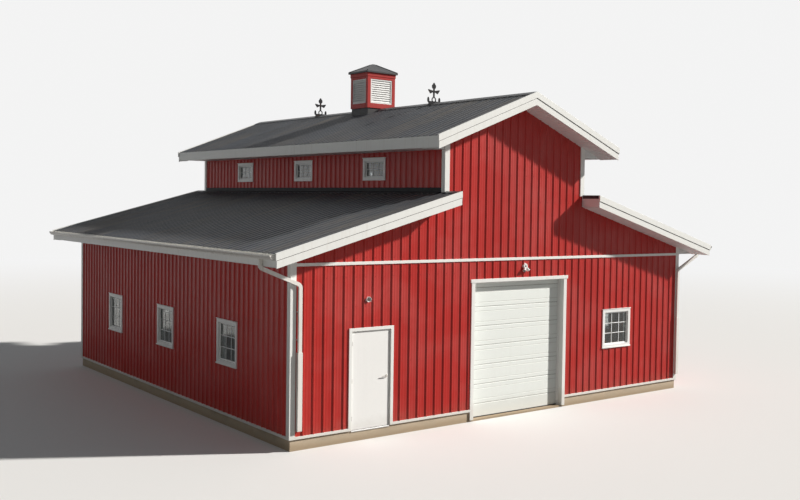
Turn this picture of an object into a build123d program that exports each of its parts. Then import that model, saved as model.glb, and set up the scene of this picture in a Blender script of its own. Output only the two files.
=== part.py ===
from build123d import *
import os
from math import sqrt

# Red barn with a raised centre aisle: twelve foot side aisles under low roofs, and a
# taller middle lit by small windows above them.
# Frame: millimetres, +X to the right along the front, +Y to the back, +Z up. The origin
# is the middle of the plan at the lowest ground. The gable with both doors faces -Y.

os.makedirs("parts", exist_ok=True)

# Plan and walls, measured on the flat of the cladding.
barn_width = 11570
barn_length = 12740
monitor_width = 4220
wall = 160
foundation_inset = 10
slab_top = 40
curb_top = 230

# Roofs: rise over run, the height of the low roof's face at the outside of its fascia, how
# far the upper one's is above the low roof's top edge, and build-up.
low_slope = 3.5 / 12
upper_slope = 5 / 12
low_eave_height = 3935
clerestory_rise = 1194
roof_thickness = 140
side_overhang = 620
gable_overhang = 630

# Eave and rake trim. Depths are square to the roof face, from it downwards.
fascia_thickness = 25
fascia_height = 250
soffit_thickness = 12
soffit_lift = 8
rake_rise = 25
rake_step_depth = 110
rake_depth = 260
rake_board_thickness = 30
rake_strip_thickness = 15
rake_end_lap = 20

# Trim on the walls stands proud of the flat cladding, over its ribs.
trim_stand = 28
corner_flange = 130
base_trim_height = 55
belt_drop = 281
belt_trim_height = 63
flashing_leg = 150
flashing_upstand = 110
ridge_cap_leg = 170
ridge_cap_thickness = 28

# Posts and beams that carry the walls of the raised aisle.
post = 160
beam_depth = 300
clerestory_seat = 142
posts_per_side = 5

# Hinged door in the front of the left aisle.
man_door_x = -3942
leaf_width = 914
leaf_height = 2032
leaf_thickness = 44
leaf_recess = 8
leaf_gap = 5
strike_gap = 7
jamb = 31
jamb_depth = 120
stop_size = 12
man_casing_reveal = 8
man_casing_width = 68
sill_notch = 30
threshold_height = 28
threshold_nose = 12
leaf_lift = 7

# Hinges of that door: three, each with one knuckle on the frame and two on the leaf.
hinge_count = 3
hinge_inset = 240
knuckle_radius = 8
pin_radius = 4
pin_clearance = 0.1
knuckle_length = 30
knuckle_gap = 0.4
hinge_plate = 2
hinge_plate_depth = 40
knuckle_clearance = 1
hinge_offset = 3.5

# Lever set.
backset = 70
lever_height = 1050
rose_radius = 33
rose_thickness = 9
spindle_radius = 8
spindle_clearance = 0.3
lever_reach = 125
lever_width = 20
lever_thickness = 12
lever_stand = 45

# Overhead door, which slides up behind the wall.
overhead_x = 136
overhead_width = 2743
overhead_opening_top = 3165
overhead_liner = 20
overhead_casing = 99
overhead_header = 80
overhead_header_ear = 30
overhead_header_stand = 40
overhead_thickness = 45
bottom_section = 312
middle_section = 447
middle_sections = 6
seam_depth = 13
groove_depth = 7
groove_share = 0.23

# Windows: sizes are over the outside trim.
low_window_width = 1016
low_window_height = 985
low_window_centre = 1827
clerestory_window_width = 990
clerestory_window_height = 542
clerestory_window_rise = 552
window_spacing = 3500
windows_per_side = 3
front_window_x = 3406
window_trim = 50
window_liner = 30
sash = 32
sash_setback = 22
sash_thickness = 40
glass_thickness = 20

# Gutters of K shape and their downspouts.
gutter_height = 95
gutter_width = 125
gutter_foot = 84
gutter_waist = 106
gutter_waist_rise = 43
gutter_brow_rise = 78
gutter_toe_radius = 60
gutter_brow_radius = 55
gutter_wall = 4
gutter_lip = 14
gutter_drop = 18
gutter_cap_inset = 14
downspout_width = 76
downspout_depth = 51
downspout_stand = 40
left_outlet_offset = 30
left_outlet_drop = 170
left_downspout_x = 5620
left_knee_height = 3290
right_outlet_offset = 144
right_outlet_drop = 168
right_downspout_x = 5750
right_knee_height = 3262
downspout_bend = 90
sleeve_top = 1960
sleeve_bottom = 400
sleeve_width = 100
sleeve_depth = 75
sleeve_wall = 4
sleeve_mouth = 60
strap_height = 25
strap_heights = (2750, 2200)

# Cupola on the middle of the ridge.
cupola_size = 890
cupola_rise = 30
cupola_curb_inset = 25
cupola_board = 40
cupola_post = 100
cupola_rail = 131
cupola_louvre_height = 669
cupola_top_rail = 65
cupola_cornice_stand = 12
cupola_cornice_height = 105
cupola_bead = 4
cupola_rim_lap = 42
cupola_rim_height = 45
cupola_roof_rise = 235
cupola_roof_thickness = 25
cupola_cap = 90
cupola_cap_height = 12
louvre_setback = 8
louvre_frame = 36
louvre_frame_depth = 44
louvre_blades = 10
louvre_blade_width = 66
louvre_blade_thickness = 7
louvre_angle = 60

# Pair of iron finials on the ridge.
finial_spacing = 5880
finial_thickness = 14
finial_bar = 28
finial_base_width = 410
finial_base_height = 40
finial_bud_width = 62
finial_bud_top = 142
finial_leg_height = 152
finial_leg_spread = 84
finial_stem_width = 50
finial_stem_top = 370
finial_collar_radius = 36
finial_collar_height = 276
finial_arm_height = 303
finial_leaf_reach = 200
finial_leaf_top = 344
finial_leaf_foot_reach = 116
finial_leaf_foot = 226
finial_leaf_corner = 14
finial_top_width = 126
finial_top_bottom = 350
finial_top_height = 140
finial_ball_radius = 27
finial_saddle_width = 340
finial_saddle_length = 150
finial_saddle_thickness = 10

# Lights over the two doors.
door_light_x = -4043
door_light_z = 2930
door_light_radius = 57
door_light_depth = 60
light_rim = 6
light_mouth = 20
flood_light_x = 250
flood_light_z = 3507
flood_canopy_radius = 75
flood_canopy_depth = 40
flood_canopy_angle = 20
flood_arm = 50
flood_arm_radius = 12
flood_lamp_radius = 42
flood_lamp_neck = 26
flood_lamp_length = 90
flood_lamp_spread = 60
flood_lamp_out = 50
flood_lamp_drop = 100

# What follows from those sizes.
half_width = barn_width / 2
half_length = barn_length / 2
half_monitor = monitor_width / 2
front = -half_length
low_stretch = sqrt(1 + low_slope**2)
upper_stretch = sqrt(1 + upper_slope**2)
low_fascia = half_width + side_overhang
upper_fascia = half_monitor + side_overhang
rake_thickness = rake_board_thickness + rake_strip_thickness
roof_half_length = half_length + gable_overhang - rake_thickness
soffit_depth = rake_depth - soffit_lift


def low_z(x, depth=0):
    """Height in the low roof at x, a depth below its face measured square to it."""
    return low_eave_height + low_slope * (low_fascia - abs(x)) - depth * low_stretch


def face(y):
    """Upright plane that faces the front, at y. Sketch x and y are the barn's X and Z."""
    return Plane.XZ.offset(-y)


upper_eave_height = low_z(half_monitor) + clerestory_rise


def upper_z(x, depth=0):
    """Height in the upper roof at x, a depth below its face measured square to it."""
    return upper_eave_height + upper_slope * (upper_fascia - abs(x)) - depth * upper_stretch


belt_height = low_eave_height - belt_drop
clerestory_base = low_z(half_monitor, roof_thickness) - clerestory_seat
clerestory_window_centre = low_z(half_monitor) + clerestory_window_rise
left_face = Plane(origin=(-half_width, 0, 0), x_dir=(0, -1, 0), z_dir=(-1, 0, 0))
left_monitor_face = Plane(origin=(-half_monitor, 0, 0), x_dir=(0, -1, 0), z_dir=(-1, 0, 0))
front_face = face(front)
back_face = Plane(origin=(0, half_length, 0), x_dir=(-1, 0, 0), z_dir=(0, 1, 0))

# Foundation: a slab with a curb under the walls, notched at both doors.
foundation_width = barn_width - 2 * foundation_inset
foundation_length = barn_length - 2 * foundation_inset
man_opening = leaf_width + leaf_gap + strike_gap
man_rough = man_opening + 2 * jamb
sill_top = curb_top - sill_notch
overhead_rough = overhead_width + 2 * overhead_liner

with BuildPart() as floor_slab:
    with BuildSketch(Plane.XY):
        Rectangle(foundation_width, foundation_length)
    extrude(amount=slab_top)

with BuildPart() as foundation_curb:
    with BuildSketch(Plane.XY.offset(slab_top)):
        Rectangle(foundation_width, foundation_length)
        Rectangle(barn_width - 2 * wall, barn_length - 2 * wall, mode=Mode.SUBTRACT)
    extrude(amount=curb_top - slab_top)
    with BuildSketch(Plane.XY.offset(slab_top)):
        with Locations((overhead_x, front + wall / 2)):
            Rectangle(overhead_rough, 2 * wall)
    extrude(amount=curb_top, mode=Mode.SUBTRACT)
    with BuildSketch(Plane.XY.offset(sill_top)):
        with Locations((man_door_x, front + wall / 2)):
            Rectangle(man_opening, 2 * wall)
    extrude(amount=sill_notch, mode=Mode.SUBTRACT)

# Front wall. Up to the belt it is split beside and over the two doors.
leaf_bottom = sill_top + threshold_height + leaf_lift
leaf_top = leaf_bottom + leaf_height
man_opening_top = leaf_top + leaf_gap
man_rough_top = man_opening_top + jamb
man_left = man_door_x - man_rough / 2
man_right = man_door_x + man_rough / 2
overhead_rough_top = overhead_opening_top + overhead_liner
overhead_left = overhead_x - overhead_rough / 2
overhead_right = overhead_x + overhead_rough / 2
hole_width = low_window_width - 2 * window_trim
hole_height = low_window_height - 2 * window_trim
clerestory_hole_width = clerestory_window_width - 2 * window_trim
clerestory_hole_height = clerestory_window_height - 2 * window_trim

with BuildPart() as front_wall_left:
    with BuildSketch(front_face):
        Polygon((-half_width, curb_top), (man_left, curb_top), (man_left, belt_height),
                (-half_width, belt_height))
    extrude(amount=-wall)

with BuildPart() as front_wall_over_door:
    with BuildSketch(front_face):
        Polygon((man_left, man_rough_top), (man_right, man_rough_top),
                (man_right, belt_height), (man_left, belt_height))
    extrude(amount=-wall)

with BuildPart() as front_wall_middle:
    with BuildSketch(front_face):
        Polygon((man_right, curb_top), (overhead_left, curb_top), (overhead_left, belt_height),
                (man_right, belt_height))
    extrude(amount=-wall)

with BuildPart() as front_wall_over_overhead_door:
    with BuildSketch(front_face):
        Polygon((overhead_left, overhead_rough_top), (overhead_right, overhead_rough_top),
                (overhead_right, belt_height), (overhead_left, belt_height))
    extrude(amount=-wall)

with BuildPart() as front_wall_right:
    with BuildSketch(front_face):
        Polygon((overhead_right, curb_top), (half_width, curb_top), (half_width, belt_height),
                (overhead_right, belt_height))
        with Locations((front_window_x, low_window_centre)):
            Rectangle(hole_width, hole_height, mode=Mode.SUBTRACT)
    extrude(amount=-wall)

# Above the belt both ends are alike: the end of the raised aisle, with a wing on each side.
with BuildPart() as gable_centres:
    with BuildSketch(front_face):
        Polygon((-half_monitor, belt_height), (half_monitor, belt_height),
                (half_monitor, upper_z(half_monitor, roof_thickness)),
                (0, upper_z(0, roof_thickness)),
                (-half_monitor, upper_z(half_monitor, roof_thickness)))
    extrude(amount=-wall)
    mirror(about=Plane.XZ)

with BuildPart() as gable_wings:
    with BuildSketch(front_face):
        Polygon((half_monitor, belt_height), (half_width, belt_height),
                (half_width, low_z(half_width, roof_thickness)),
                (half_monitor, low_z(half_monitor, roof_thickness)))
    extrude(amount=-wall)
    mirror(about=Plane.YZ)
    mirror(about=Plane.XZ)

# Back wall: the same storeys and belt, with a window in each aisle and no door.
with BuildPart() as back_wall:
    with BuildSketch(back_face):
        Polygon((-half_width, curb_top), (half_width, curb_top), (half_width, belt_height),
                (-half_width, belt_height))
        with Locations((-front_window_x, low_window_centre), (front_window_x, low_window_centre)):
            Rectangle(hole_width, hole_height, mode=Mode.SUBTRACT)
    extrude(amount=-wall)

# Side walls, between the front and back walls.
side_inner = half_width - wall
side_half_length = half_length - wall

with BuildPart() as left_wall:
    with BuildSketch(face(-side_half_length)):
        Polygon((-half_width, curb_top), (-side_inner, curb_top),
                (-side_inner, low_z(side_inner, roof_thickness)),
                (-half_width, low_z(half_width, roof_thickness)))
    extrude(amount=-2 * side_half_length)
    with BuildSketch(left_face):
        with Locations((0, low_window_centre)):
            with GridLocations(window_spacing, 1, windows_per_side, 1):
                Rectangle(hole_width, hole_height)
    extrude(amount=-wall, mode=Mode.SUBTRACT)

with BuildPart() as right_wall:
    add(left_wall.part)
    mirror(about=Plane.YZ, mode=Mode.REPLACE)

monitor_inner = half_monitor - wall

with BuildPart() as left_clerestory_wall:
    with BuildSketch(face(-side_half_length)):
        Polygon((-half_monitor, clerestory_base), (-monitor_inner, clerestory_base),
                (-monitor_inner, upper_z(monitor_inner, roof_thickness)),
                (-half_monitor, upper_z(half_monitor, roof_thickness)))
    extrude(amount=-2 * side_half_length)
    with BuildSketch(left_monitor_face):
        with Locations((0, clerestory_window_centre)):
            with GridLocations(window_spacing, 1, windows_per_side, 1):
                Rectangle(clerestory_hole_width, clerestory_hole_height)
    extrude(amount=-wall, mode=Mode.SUBTRACT)

with BuildPart() as right_clerestory_wall:
    add(left_clerestory_wall.part)
    mirror(about=Plane.YZ, mode=Mode.REPLACE)

# Posts and beams inside, along both sides of the middle aisle.
post_line = half_monitor - post / 2
post_spacing = (2 * side_half_length - post) / (posts_per_side - 1)
beam_bottom = clerestory_base - beam_depth

with BuildPart() as aisle_posts:
    with BuildSketch(Plane.XY.offset(slab_top)):
        with GridLocations(2 * post_line, post_spacing, 2, posts_per_side):
            Rectangle(post, post)
    extrude(amount=beam_bottom - slab_top)

with BuildPart() as aisle_beams:
    with BuildSketch(Plane.XY.offset(beam_bottom)):
        with GridLocations(2 * post_line, 1, 2, 1):
            Rectangle(post, 2 * side_half_length)
    extrude(amount=beam_depth)

# Roof panels. Each runs out over the gables, to the back of the rake boards.
low_panel_edge = low_fascia - fascia_thickness
upper_panel_edge = upper_fascia - fascia_thickness

with BuildPart() as low_roofs:
    with BuildSketch(face(-roof_half_length)):
        Polygon((half_monitor, low_z(half_monitor)), (low_panel_edge, low_z(low_panel_edge)),
                (low_panel_edge, low_z(low_panel_edge, roof_thickness)),
                (half_monitor, low_z(half_monitor, roof_thickness)))
    extrude(amount=-2 * roof_half_length)
    mirror(about=Plane.YZ)

with BuildPart() as upper_roof_right:
    with BuildSketch(face(-roof_half_length)):
        Polygon((0, upper_z(0)), (upper_panel_edge, upper_z(upper_panel_edge)),
                (upper_panel_edge, upper_z(upper_panel_edge, roof_thickness)),
                (0, upper_z(0, roof_thickness)))
    extrude(amount=-2 * roof_half_length)

with BuildPart() as upper_roof_left:
    add(upper_roof_right.part)
    mirror(about=Plane.YZ, mode=Mode.REPLACE)

# Ridge cap, in two lengths that stop at the cupola.
with BuildPart() as ridge_cap:
    with BuildSketch(face(-roof_half_length)):
        Polygon((0, upper_z(0)), (ridge_cap_leg, upper_z(ridge_cap_leg)),
                (ridge_cap_leg, upper_z(ridge_cap_leg, -ridge_cap_thickness)),
                (0, upper_z(0, -ridge_cap_thickness)),
                (-ridge_cap_leg, upper_z(ridge_cap_leg, -ridge_cap_thickness)),
                (-ridge_cap_leg, upper_z(ridge_cap_leg)))
    extrude(amount=-(roof_half_length - cupola_size / 2))
    mirror(about=Plane.XZ)

# Flashing where each low roof meets the wall of the raised aisle, between its corner trims.
flashing_half_length = half_length + trim_stand - corner_flange

with BuildPart() as roof_to_wall_flashings:
    with BuildSketch(face(-flashing_half_length)):
        Polygon((half_monitor, low_z(half_monitor)),
                (half_monitor + flashing_leg, low_z(half_monitor + flashing_leg)),
                (half_monitor + flashing_leg, low_z(half_monitor + flashing_leg, -trim_stand)),
                (half_monitor + trim_stand, low_z(half_monitor + trim_stand, -trim_stand)),
                (half_monitor + trim_stand, low_z(half_monitor) + flashing_upstand),
                (half_monitor, low_z(half_monitor) + flashing_upstand))
    extrude(amount=-2 * flashing_half_length)
    mirror(about=Plane.YZ)

# Fascias along the four eaves.
low_fascia_bottom = low_eave_height - fascia_height
upper_fascia_bottom = upper_eave_height - fascia_height

with BuildPart() as eave_fascias:
    with BuildSketch(face(-roof_half_length)):
        Polygon((low_panel_edge, low_fascia_bottom), (low_fascia, low_fascia_bottom),
                (low_fascia, low_eave_height), (low_panel_edge, low_eave_height))
        Polygon((upper_panel_edge, upper_fascia_bottom), (upper_fascia, upper_fascia_bottom),
                (upper_fascia, upper_eave_height), (upper_panel_edge, upper_eave_height))
    extrude(amount=-2 * roof_half_length)
    mirror(about=Plane.YZ)

# Level soffits under the eaves, each boxed in at both ends.
low_soffit = low_fascia_bottom + soffit_lift
upper_soffit = upper_fascia_bottom + soffit_lift

with BuildPart() as eave_soffits:
    with BuildSketch(front_face):
        Polygon((half_width, low_soffit), (low_panel_edge, low_soffit),
                (low_panel_edge, low_soffit + soffit_thickness),
                (half_width, low_soffit + soffit_thickness))
        Polygon((half_monitor, upper_soffit), (upper_panel_edge, upper_soffit),
                (upper_panel_edge, upper_soffit + soffit_thickness),
                (half_monitor, upper_soffit + soffit_thickness))
    extrude(amount=-barn_length)
    for end in (face(front), face(half_length - soffit_thickness)):
        with BuildSketch(end):
            Polygon((half_width, low_soffit), (low_panel_edge, low_soffit),
                    (low_panel_edge, low_z(low_panel_edge, roof_thickness)),
                    (half_width, low_z(half_width, roof_thickness)))
            Polygon((half_monitor, upper_soffit), (upper_panel_edge, upper_soffit),
                    (upper_panel_edge, upper_z(upper_panel_edge, roof_thickness)),
                    (half_monitor, upper_z(half_monitor, roof_thickness)))
        extrude(amount=-soffit_thickness)
    mirror(about=Plane.YZ)

# Sloped soffits under the gable overhangs. The low ones end in a return board beside the
# raised aisle.
return_inner = half_monitor - rake_strip_thickness

with BuildPart() as gable_soffits:
    with BuildSketch(face(-roof_half_length)):
        Polygon((0, upper_z(0, soffit_depth - soffit_thickness)),
                (upper_panel_edge, upper_z(upper_panel_edge, soffit_depth - soffit_thickness)),
                (upper_panel_edge, upper_z(upper_panel_edge, soffit_depth)),
                (0, upper_z(0, soffit_depth)),
                (-upper_panel_edge, upper_z(upper_panel_edge, soffit_depth)),
                (-upper_panel_edge, upper_z(upper_panel_edge, soffit_depth - soffit_thickness)))
    extrude(amount=-(roof_half_length - half_length))
    with BuildSketch(face(-roof_half_length)):
        for side in (1, -1):
            Polygon((side * half_monitor, low_z(half_monitor, soffit_depth - soffit_thickness)),
                    (side * low_panel_edge, low_z(low_panel_edge, soffit_depth - soffit_thickness)),
                    (side * low_panel_edge, low_z(low_panel_edge, soffit_depth)),
                    (side * half_monitor, low_z(half_monitor, soffit_depth)))
            Polygon((side * return_inner, low_z(half_monitor, soffit_depth)),
                    (side * half_monitor, low_z(half_monitor, soffit_depth)),
                    (side * half_monitor, low_z(half_monitor)),
                    (side * return_inner, low_z(half_monitor)))
    extrude(amount=-(roof_half_length - half_length))
    mirror(about=Plane.XZ)

# Stepped rake trims: a board, and a strip over its upper part that laps past the fascia.
with BuildPart() as rake_trims:
    with BuildSketch(face(-roof_half_length)):
        Polygon((0, upper_z(0, -rake_rise)), (upper_fascia, upper_z(upper_fascia, -rake_rise)),
                (upper_fascia, upper_z(upper_fascia, rake_depth)), (0, upper_z(0, rake_depth)),
                (-upper_fascia, upper_z(upper_fascia, rake_depth)),
                (-upper_fascia, upper_z(upper_fascia, -rake_rise)))
        for side in (1, -1):
            Polygon((side * return_inner, low_z(return_inner, -rake_rise)),
                    (side * low_fascia, low_z(low_fascia, -rake_rise)),
                    (side * low_fascia, low_z(low_fascia, rake_depth)),
                    (side * return_inner, low_z(return_inner, rake_depth)))
    extrude(amount=rake_board_thickness)
    upper_lap = upper_fascia + rake_end_lap
    low_lap = low_fascia + rake_end_lap
    with BuildSketch(face(-roof_half_length)):
        Polygon((0, upper_z(0, -rake_rise)), (upper_lap, upper_z(upper_lap, -rake_rise)),
                (upper_lap, upper_z(upper_lap, rake_step_depth)), (0, upper_z(0, rake_step_depth)),
                (-upper_lap, upper_z(upper_lap, rake_step_depth)),
                (-upper_lap, upper_z(upper_lap, -rake_rise)))
        for side in (1, -1):
            Polygon((side * return_inner, low_z(return_inner, -rake_rise)),
                    (side * low_lap, low_z(low_lap, -rake_rise)),
                    (side * low_lap, low_z(low_lap, rake_step_depth)),
                    (side * return_inner, low_z(return_inner, rake_step_depth)))
    extrude(amount=rake_thickness)
    mirror(about=Plane.XZ)

# Corner trims: an angle over each outside corner of the walls. On the gable side it runs
# on up to the sloped soffit.
low_corner_inner = half_width + trim_stand - corner_flange
monitor_corner_inner = half_monitor + trim_stand - corner_flange
corner_inner_y = half_length + trim_stand - corner_flange

with BuildPart() as corner_trims:
    with BuildSketch(Plane.XY.offset(curb_top)):
        Polygon((low_corner_inner, -half_length), (low_corner_inner, -half_length - trim_stand),
                (half_width + trim_stand, -half_length - trim_stand),
                (half_width + trim_stand, -corner_inner_y), (half_width, -corner_inner_y),
                (half_width, -half_length))
    extrude(amount=low_soffit - curb_top)
    with BuildSketch(face(front)):
        Polygon((low_corner_inner, curb_top), (half_width + trim_stand, curb_top),
                (half_width + trim_stand, low_z(half_width + trim_stand, soffit_depth)),
                (low_corner_inner, low_z(low_corner_inner, soffit_depth)))
    extrude(amount=trim_stand)
    with BuildSketch(Plane.XY.offset(low_z(half_monitor))):
        Polygon((monitor_corner_inner, -half_length),
                (monitor_corner_inner, -half_length - trim_stand),
                (half_monitor + trim_stand, -half_length - trim_stand),
                (half_monitor + trim_stand, -corner_inner_y), (half_monitor, -corner_inner_y),
                (half_monitor, -half_length))
    extrude(amount=upper_soffit - low_z(half_monitor))
    with BuildSketch(face(front)):
        Polygon((monitor_corner_inner, low_z(half_monitor)),
                (half_monitor + trim_stand, low_z(half_monitor)),
                (half_monitor + trim_stand, upper_z(half_monitor + trim_stand, soffit_depth)),
                (monitor_corner_inner, upper_z(monitor_corner_inner, soffit_depth)))
    extrude(amount=trim_stand)
    mirror(about=Plane.YZ)
    mirror(about=Plane.XZ)

# Base trim along the foot of the cladding, between corner trims and door casings.
man_casing_outer = man_opening / 2 + man_casing_reveal + man_casing_width
overhead_casing_outer = overhead_width / 2 + overhead_casing
base_trim_top = curb_top + base_trim_height

with BuildPart() as base_trim:
    with BuildSketch(front_face):
        for start, stop in ((-low_corner_inner, man_door_x - man_casing_outer),
                            (man_door_x + man_casing_outer, overhead_x - overhead_casing_outer),
                            (overhead_x + overhead_casing_outer, low_corner_inner)):
            Polygon((start, curb_top), (stop, curb_top), (stop, base_trim_top),
                    (start, base_trim_top))
    extrude(amount=trim_stand)
    with BuildSketch(back_face):
        Polygon((-low_corner_inner, curb_top), (low_corner_inner, curb_top),
                (low_corner_inner, base_trim_top), (-low_corner_inner, base_trim_top))
    extrude(amount=trim_stand)
    with BuildSketch(left_face):
        Polygon((-corner_inner_y, curb_top), (corner_inner_y, curb_top),
                (corner_inner_y, base_trim_top), (-corner_inner_y, base_trim_top))
    left_base = extrude(amount=trim_stand)
    mirror(left_base, about=Plane.YZ)

# Belt trim across both gables, level with the eaves.
with BuildPart() as belt_trims:
    with BuildSketch(front_face):
        Polygon((-low_corner_inner, belt_height), (low_corner_inner, belt_height),
                (low_corner_inner, belt_height + belt_trim_height),
                (-low_corner_inner, belt_height + belt_trim_height))
    extrude(amount=trim_stand)
    mirror(about=Plane.XZ)

# Overhead door: sections with a joint between them and two pressed lines in each.
overhead_bottom = slab_top
overhead_top = overhead_rough_top
overhead_face = front + wall
overhead_door_width = overhead_width + 2 * overhead_liner
seams = [overhead_bottom + bottom_section + middle_section * n for n in range(middle_sections + 1)]
grooves = []
for seam in seams[:-1]:
    grooves.append(seam + groove_share * middle_section)
    grooves.append(seam + (1 - groove_share) * middle_section)

with BuildPart() as overhead_door:
    with BuildSketch(Plane.YZ.offset(overhead_x - overhead_door_width / 2)):
        Polygon((overhead_face, overhead_bottom), (overhead_face + overhead_thickness, overhead_bottom),
                (overhead_face + overhead_thickness, overhead_top), (overhead_face, overhead_top))
        with Locations([(overhead_face, seam) for seam in seams]):
            Rectangle(seam_depth * sqrt(2), seam_depth * sqrt(2), rotation=45, mode=Mode.SUBTRACT)
        with Locations([(overhead_face, groove) for groove in grooves]):
            Rectangle(groove_depth * sqrt(2), groove_depth * sqrt(2), rotation=45,
                      mode=Mode.SUBTRACT)
    extrude(amount=overhead_door_width)

# Its casing: liner boards through the wall, flat boards outside, and a longer header board.
overhead_half = overhead_width / 2
overhead_header_top = overhead_opening_top + overhead_header

with BuildPart() as overhead_door_casing:
    with BuildSketch(front_face):
        Polygon((overhead_left, slab_top), (overhead_right, slab_top),
                (overhead_right, overhead_rough_top), (overhead_left, overhead_rough_top))
        with Locations((overhead_x, (slab_top + overhead_opening_top) / 2)):
            Rectangle(overhead_width, overhead_opening_top - slab_top, mode=Mode.SUBTRACT)
    extrude(amount=-wall)
    with BuildSketch(front_face):
        for side in (1, -1):
            Polygon((overhead_x + side * overhead_half, slab_top),
                    (overhead_x + side * overhead_casing_outer, slab_top),
                    (overhead_x + side * overhead_casing_outer, overhead_opening_top),
                    (overhead_x + side * overhead_half, overhead_opening_top))
    extrude(amount=trim_stand)
    header_half = overhead_casing_outer + overhead_header_ear
    with BuildSketch(front_face):
        Polygon((overhead_x - header_half, overhead_opening_top),
                (overhead_x + header_half, overhead_opening_top),
                (overhead_x + header_half, overhead_header_top),
                (overhead_x - header_half, overhead_header_top))
    extrude(amount=overhead_header_stand)

# Frame of the hinged door: jambs and head with a stop, and the outside casing.
leaf_front = front + leaf_recess
stop_front = leaf_front + leaf_thickness + leaf_gap
man_casing_inner = man_opening / 2 + man_casing_reveal
man_casing_top = man_opening_top + man_casing_reveal + man_casing_width

with BuildPart() as man_door_frame:
    with BuildSketch(front_face):
        Polygon((man_left, curb_top), (man_right, curb_top), (man_right, man_rough_top),
                (man_left, man_rough_top))
        with Locations((man_door_x, (curb_top + man_opening_top) / 2)):
            Rectangle(man_opening, man_opening_top - curb_top, mode=Mode.SUBTRACT)
    extrude(amount=-jamb_depth)
    with BuildSketch(face(stop_front)):
        with Locations((man_door_x, (curb_top + man_opening_top) / 2)):
            Rectangle(man_opening, man_opening_top - curb_top)
        with Locations((man_door_x, (curb_top + man_opening_top - stop_size) / 2)):
            Rectangle(man_opening - 2 * stop_size, man_opening_top - stop_size - curb_top,
                      mode=Mode.SUBTRACT)
    extrude(amount=-(front + jamb_depth - stop_front))
    with BuildSketch(front_face):
        Polygon((man_door_x - man_casing_outer, curb_top), (man_door_x + man_casing_outer, curb_top),
                (man_door_x + man_casing_outer, man_casing_top),
                (man_door_x - man_casing_outer, man_casing_top))
        with Locations((man_door_x, (curb_top + man_opening_top + man_casing_reveal) / 2)):
            Rectangle(2 * man_casing_inner, man_opening_top + man_casing_reveal - curb_top,
                      mode=Mode.SUBTRACT)
    extrude(amount=trim_stand)

with BuildPart() as man_door_threshold:
    with BuildSketch(Plane.XY.offset(sill_top)):
        with Locations((man_door_x, front + (wall - threshold_nose) / 2)):
            Rectangle(man_opening, wall + threshold_nose)
    extrude(amount=threshold_height)
    nose = man_door_threshold.edges().filter_by(Axis.X).group_by(Axis.Z)[-1]
    chamfer(nose, length=threshold_nose / 2)

# The leaf, its hinges and its lever.
leaf_left = man_door_x - man_opening / 2 + leaf_gap
leaf_right = leaf_left + leaf_width
lever_x = leaf_right - backset
lever_z = leaf_bottom + lever_height
leaf_back = leaf_front + leaf_thickness

with BuildPart() as man_door_leaf:
    with BuildSketch(face(leaf_front)):
        Polygon((leaf_left, leaf_bottom), (leaf_right, leaf_bottom), (leaf_right, leaf_top),
                (leaf_left, leaf_top))
        with Locations((lever_x, lever_z)):
            Circle(spindle_radius + spindle_clearance, mode=Mode.SUBTRACT)
    extrude(amount=-leaf_thickness)

hinge_x = leaf_left + hinge_offset
hinge_y = leaf_front - knuckle_radius - knuckle_clearance
hinge_length = 3 * knuckle_length + 2 * knuckle_gap
hinge_step = (leaf_height - 2 * hinge_inset) / (hinge_count - 1)
hinge_bottoms = [leaf_bottom + hinge_inset - hinge_length / 2 + hinge_step * n
                 for n in range(hinge_count)]

with BuildPart() as man_door_hinge_pins:
    for bottom in hinge_bottoms:
        with BuildSketch(Plane.XY.offset(bottom)):
            with Locations((hinge_x, hinge_y)):
                Circle(pin_radius)
        extrude(amount=hinge_length)
        with BuildSketch(Plane.XY.offset(bottom + knuckle_length + knuckle_gap)):
            with Locations((hinge_x, hinge_y)):
                Circle(knuckle_radius)
            with Locations((leaf_left - leaf_gap + hinge_plate / 2, hinge_y + hinge_plate_depth / 2)):
                Rectangle(hinge_plate, hinge_plate_depth)
        extrude(amount=knuckle_length)

with BuildPart() as man_door_hinge_leaves:
    for bottom in hinge_bottoms:
        for knuckle in (bottom, bottom + 2 * (knuckle_length + knuckle_gap)):
            with BuildSketch(Plane.XY.offset(knuckle)):
                with Locations((hinge_x, hinge_y)):
                    Circle(knuckle_radius)
                with Locations((leaf_left - hinge_plate / 2, hinge_y + hinge_plate_depth / 2)):
                    Rectangle(hinge_plate, hinge_plate_depth)
                with Locations((hinge_x, hinge_y)):
                    Circle(pin_radius + pin_clearance, mode=Mode.SUBTRACT)
            extrude(amount=knuckle_length)

with BuildPart() as man_door_roses:
    for plane, out in ((face(leaf_front), 1), (face(leaf_back), -1)):
        with BuildSketch(plane):
            with Locations((lever_x, lever_z)):
                Circle(rose_radius)
                Circle(spindle_radius + spindle_clearance, mode=Mode.SUBTRACT)
        extrude(amount=out * rose_thickness)

lever_front = leaf_front - lever_stand
lever_back = leaf_back + lever_stand

with BuildPart() as man_door_lever:
    with BuildSketch(face(lever_front)):
        with Locations((lever_x, lever_z)):
            Circle(spindle_radius)
    extrude(amount=-(lever_back - lever_front))
    for plane in (face(lever_front), face(lever_back - lever_thickness)):
        with BuildSketch(plane):
            with Locations((lever_x - lever_reach / 2, lever_z)):
                SlotCenterToCenter(lever_reach, lever_width)
        extrude(amount=-lever_thickness)


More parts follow.
